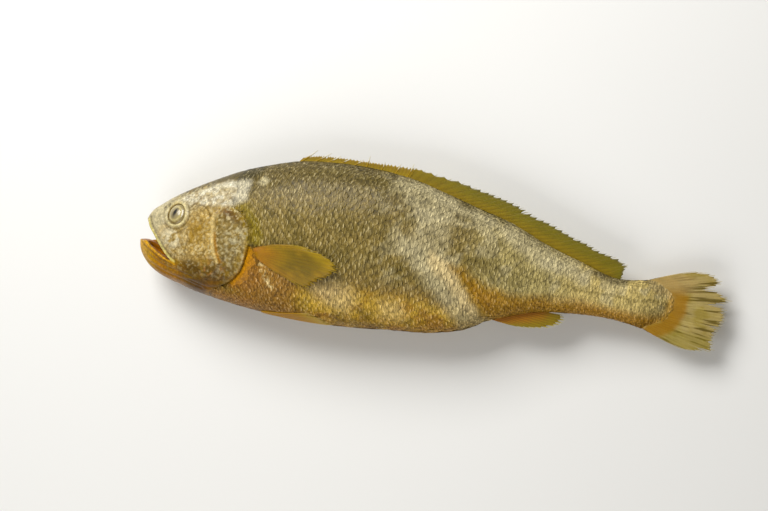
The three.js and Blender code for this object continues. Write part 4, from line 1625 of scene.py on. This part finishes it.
def makePectoral(side, node):
    n = pectoral["rays"]
    rays = finRays(evenly(pectoral["root"], n), evenly(pectoral["edge"], n), np.linspace(0.1, -0.04, n))

    def heightAt(flat):
        skin = middleHeight(flat[:, 0]) + side * flankHeight(flat[:, 0], flat[:, 1])
        if side < 0:
            return np.maximum(skin, pectoral["farLift"])
        t = np.clip((flat[:, 0] - pectoral["liftFrom"]) / pectoral["liftOver"], 0, 1)
        return skin + pectoral["lift"] + pectoral["tipLift"] * t**1.2

    def paintAt(points, local):
        t, across = local[:, 1], local[:, 0] / (n - 1)
        paint = plain(points, tint(146, 118, 20))
        paint = layers(
            paint,
            ((1 - smooth(0.1, 0.42, t)) * 0.8, tint(160, 112, 36)),
            ((1 - smooth(0.0, 0.34, t)) * (1 - smooth(0.2, 0.6, across)) * 0.8, tint(178, 124, 72)),
            (smooth(0.55, 1.0, across) * (1 - smooth(0.5, 0.9, t)) * 0.7, tint(166, 112, 10)),
        )
        olive = smooth(0.34, 0.5, t) * (1 - smooth(0.78, 0.9, t)) * smooth(0.12, 0.3, across) * (
            1 - smooth(0.6, 0.78, across)
        )
        paint = layers(
            paint,
            (olive * 0.8, tint(108, 92, 20)),
            (smooth(0.66, 0.86, t) * (1 - smooth(0.3, 0.6, across)) * 0.85, tint(164, 138, 34)),
            ((1 - smooth(0.0, 0.1, across)) * 0.5, tint(122, 92, 12)),
            (smooth(0.5, 0.75, cloud(points, 4, 91)) * 0.3, tint(190, 150, 50)),
        )
        return striped(local, paint, tint(104, 78, 10), 0.28)

    def rayPaint(points, local):
        t = local[:, 1]
        paint = plain(points, tint(152, 120, 30))
        paint = over(paint, 1 - smooth(0.1, 0.45, t), tint(170, 116, 48))
        return over(paint, smooth(0.7, 0.9, t) * 0.7, tint(176, 152, 54))

    name = "pectoral" + ("Left" if side > 0 else "Right")
    keep(finSheet(name + "Skin", rays, 7, 0.985, 0.3, heightAt, paintAt, 13), node)
    keep(finTubes(name + "Rays", rays, 0.27, heightAt, rayPaint, split=0.35, spread=0.5), node)


# pelvic fins, folded along the belly
pelvic = {
    "rays": 7,
    "flatHeight": 10.0,    # at which it is laid out before it is wrapped
    "gap": 0.55,           # between it and the belly
    "root": [(81.4, 4.4), (80.2, 5.4), (80.6, 6.6)],
    "edge": [(118.5, 1.9), (121, 4), (123, 6.6), (118, 10), (112, 12.6)],
}


def makePelvic(side, node):
    n = pelvic["rays"]
    rays = finRays(evenly(pelvic["root"], n), evenly(pelvic["edge"], n), 0.02)

    def paintAt(points, local):
        t = local[:, 1]
        paint = plain(points, tint(172, 126, 34))
        paint = over(paint, smooth(0.5, 0.95, t), tint(186, 158, 78))
        return striped(local, paint, tint(150, 92, 14), 0.3)

    def rayPaint(points, local):
        paint = plain(points, tint(184, 140, 54))
        return over(paint, smooth(0.7, 1.0, local[:, 1]) * 0.6, tint(228, 206, 140))

    def level(flat):
        return flat[:, 0] * 0 + pelvic["flatHeight"]

    name = "pelvic" + ("Left" if side > 0 else "Right")
    for item in (
        finSheet(name + "Skin", rays, 7, 0.95, 0.28, level, paintAt, 17),
        finTubes(name + "Rays", rays, 0.36, level, rayPaint, split=0.4, spread=0.4),
    ):
        # laid out flat as x and the distance from the middle plane, then wrapped under the belly
        x, away, height = fishPoints(item.data).T
        s = curveAt(crossSections, placeAtX(x))
        sine = np.clip(away / s[:, 4], 0, 0.99)
        middleY = s[:, 1] + (s[:, 3] - s[:, 1]) * s[:, 5]
        y = middleY + (s[:, 3] - middleY) * np.sqrt(1 - sine**2) ** (2 / fish["lowerRoundness"])
        y = y - pelvic["gap"] + (height - pelvic["flatHeight"])
        setPoints(item.data, toRow(np.column_stack([x, y, middleHeight(x) + side * away])))
        outward(item)
        keep(item, node)


# put it together
headPiece = makeHead()
print("head:", len(headPiece.data.polygons), "faces")
trunkPiece = makeTrunk()
print("trunk:", len(trunkPiece.data.polygons), "faces")
growth, shape = growScales(), scaleShape()
scalePieces = [makeScales(side, growth, shape) for side in (1, -1)]
bpy.data.objects.remove(shape)
for item in (headPiece, trunkPiece, *scalePieces):
    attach(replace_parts(item, "body"), "root")
ball = eyeFinish()
makeEye(1, "left_eye", ball)
makeEye(-1, "right_eye", ball)
makeSoftDorsal()
makeSpinyDorsal()
makeAnalFin()
makeTailFin()
makePectoral(1, "left_pectoral_fin")
makePectoral(-1, "right_pectoral_fin")
makePelvic(1, "left_pelvic_fin")
makePelvic(-1, "right_pelvic_fin")
print("fins and eyes made")


# floor, light and camera
studio = {
    "floor": tint(232, 231, 227),
    "world": (1.0, 0.97, 0.92),
    "worldStrength": 0.2,
    "keyPower": 12.0,
    "keySize": 0.6,
    "fillPower": 5.0,
    "fillSize": 0.9,
    "lens": 85.0,
    "cameraPlace": (0.25788, 0.06705, 0.99837),
    "cameraRight": (0.94691, 0.15317, -0.28266),
    "cameraUp": (-0.16660, 0.98573, -0.02394),
    "cameraBack": (0.27497, 0.06976, 0.95892),
}


def makeFloor():
    item = makeObject("floor", [(-3, -3, 0), (3, -3, 0), (3, 3, 0), (-3, 3, 0)], [(0, 1, 2, 3)])
    f = Finish("floorPaper")
    grain = f.noise(300, (1, 1, 1), 2, 0.5)
    item.data.materials.append(f.finish(Base_Color=(*studio["floor"], 1), Roughness=0.55 + grain * 0.1))


def makeLight(name, place, target, power, size):
    lamp = bpy.data.lights.new(name, "AREA")
    lamp.energy, lamp.size, lamp.shape = power, size, "SQUARE"
    item = bpy.data.objects.new(name, lamp)
    item.location = place
    item.rotation_mode = "QUATERNION"
    item.rotation_quaternion = (Vector(target) - Vector(place)).to_track_quat("-Z", "Y")
    bpy.context.scene.collection.objects.link(item)


def makeStudio():
    makeFloor()
    makeLight("key", (-0.42, 0.62, 0.72), (0, 0, 0.02), studio["keyPower"], studio["keySize"])
    makeLight("fill", (-0.2, -0.75, 0.8), (0, 0, 0.02), studio["fillPower"], studio["fillSize"])
    world = bpy.data.worlds.new("studio")
    world.use_nodes = True
    world.node_tree.nodes["Background"].inputs[0].default_value = (*studio["world"], 1)
    world.node_tree.nodes["Background"].inputs[1].default_value = studio["worldStrength"]
    scene = bpy.context.scene
    scene.world = world
    scene.view_settings.view_transform = "Standard"
    lens = bpy.data.cameras.new("camera")
    lens.lens, lens.sensor_width, lens.clip_start, lens.clip_end = studio["lens"], 36.0, 0.01, 20
    camera = bpy.data.objects.new("camera", lens)
    turn = Matrix((studio["cameraRight"], studio["cameraUp"], studio["cameraBack"])).transposed()
    camera.matrix_world = Matrix.Translation(studio["cameraPlace"]) @ turn.to_4x4()
    scene.collection.objects.link(camera)
    scene.camera = camera


makeStudio()
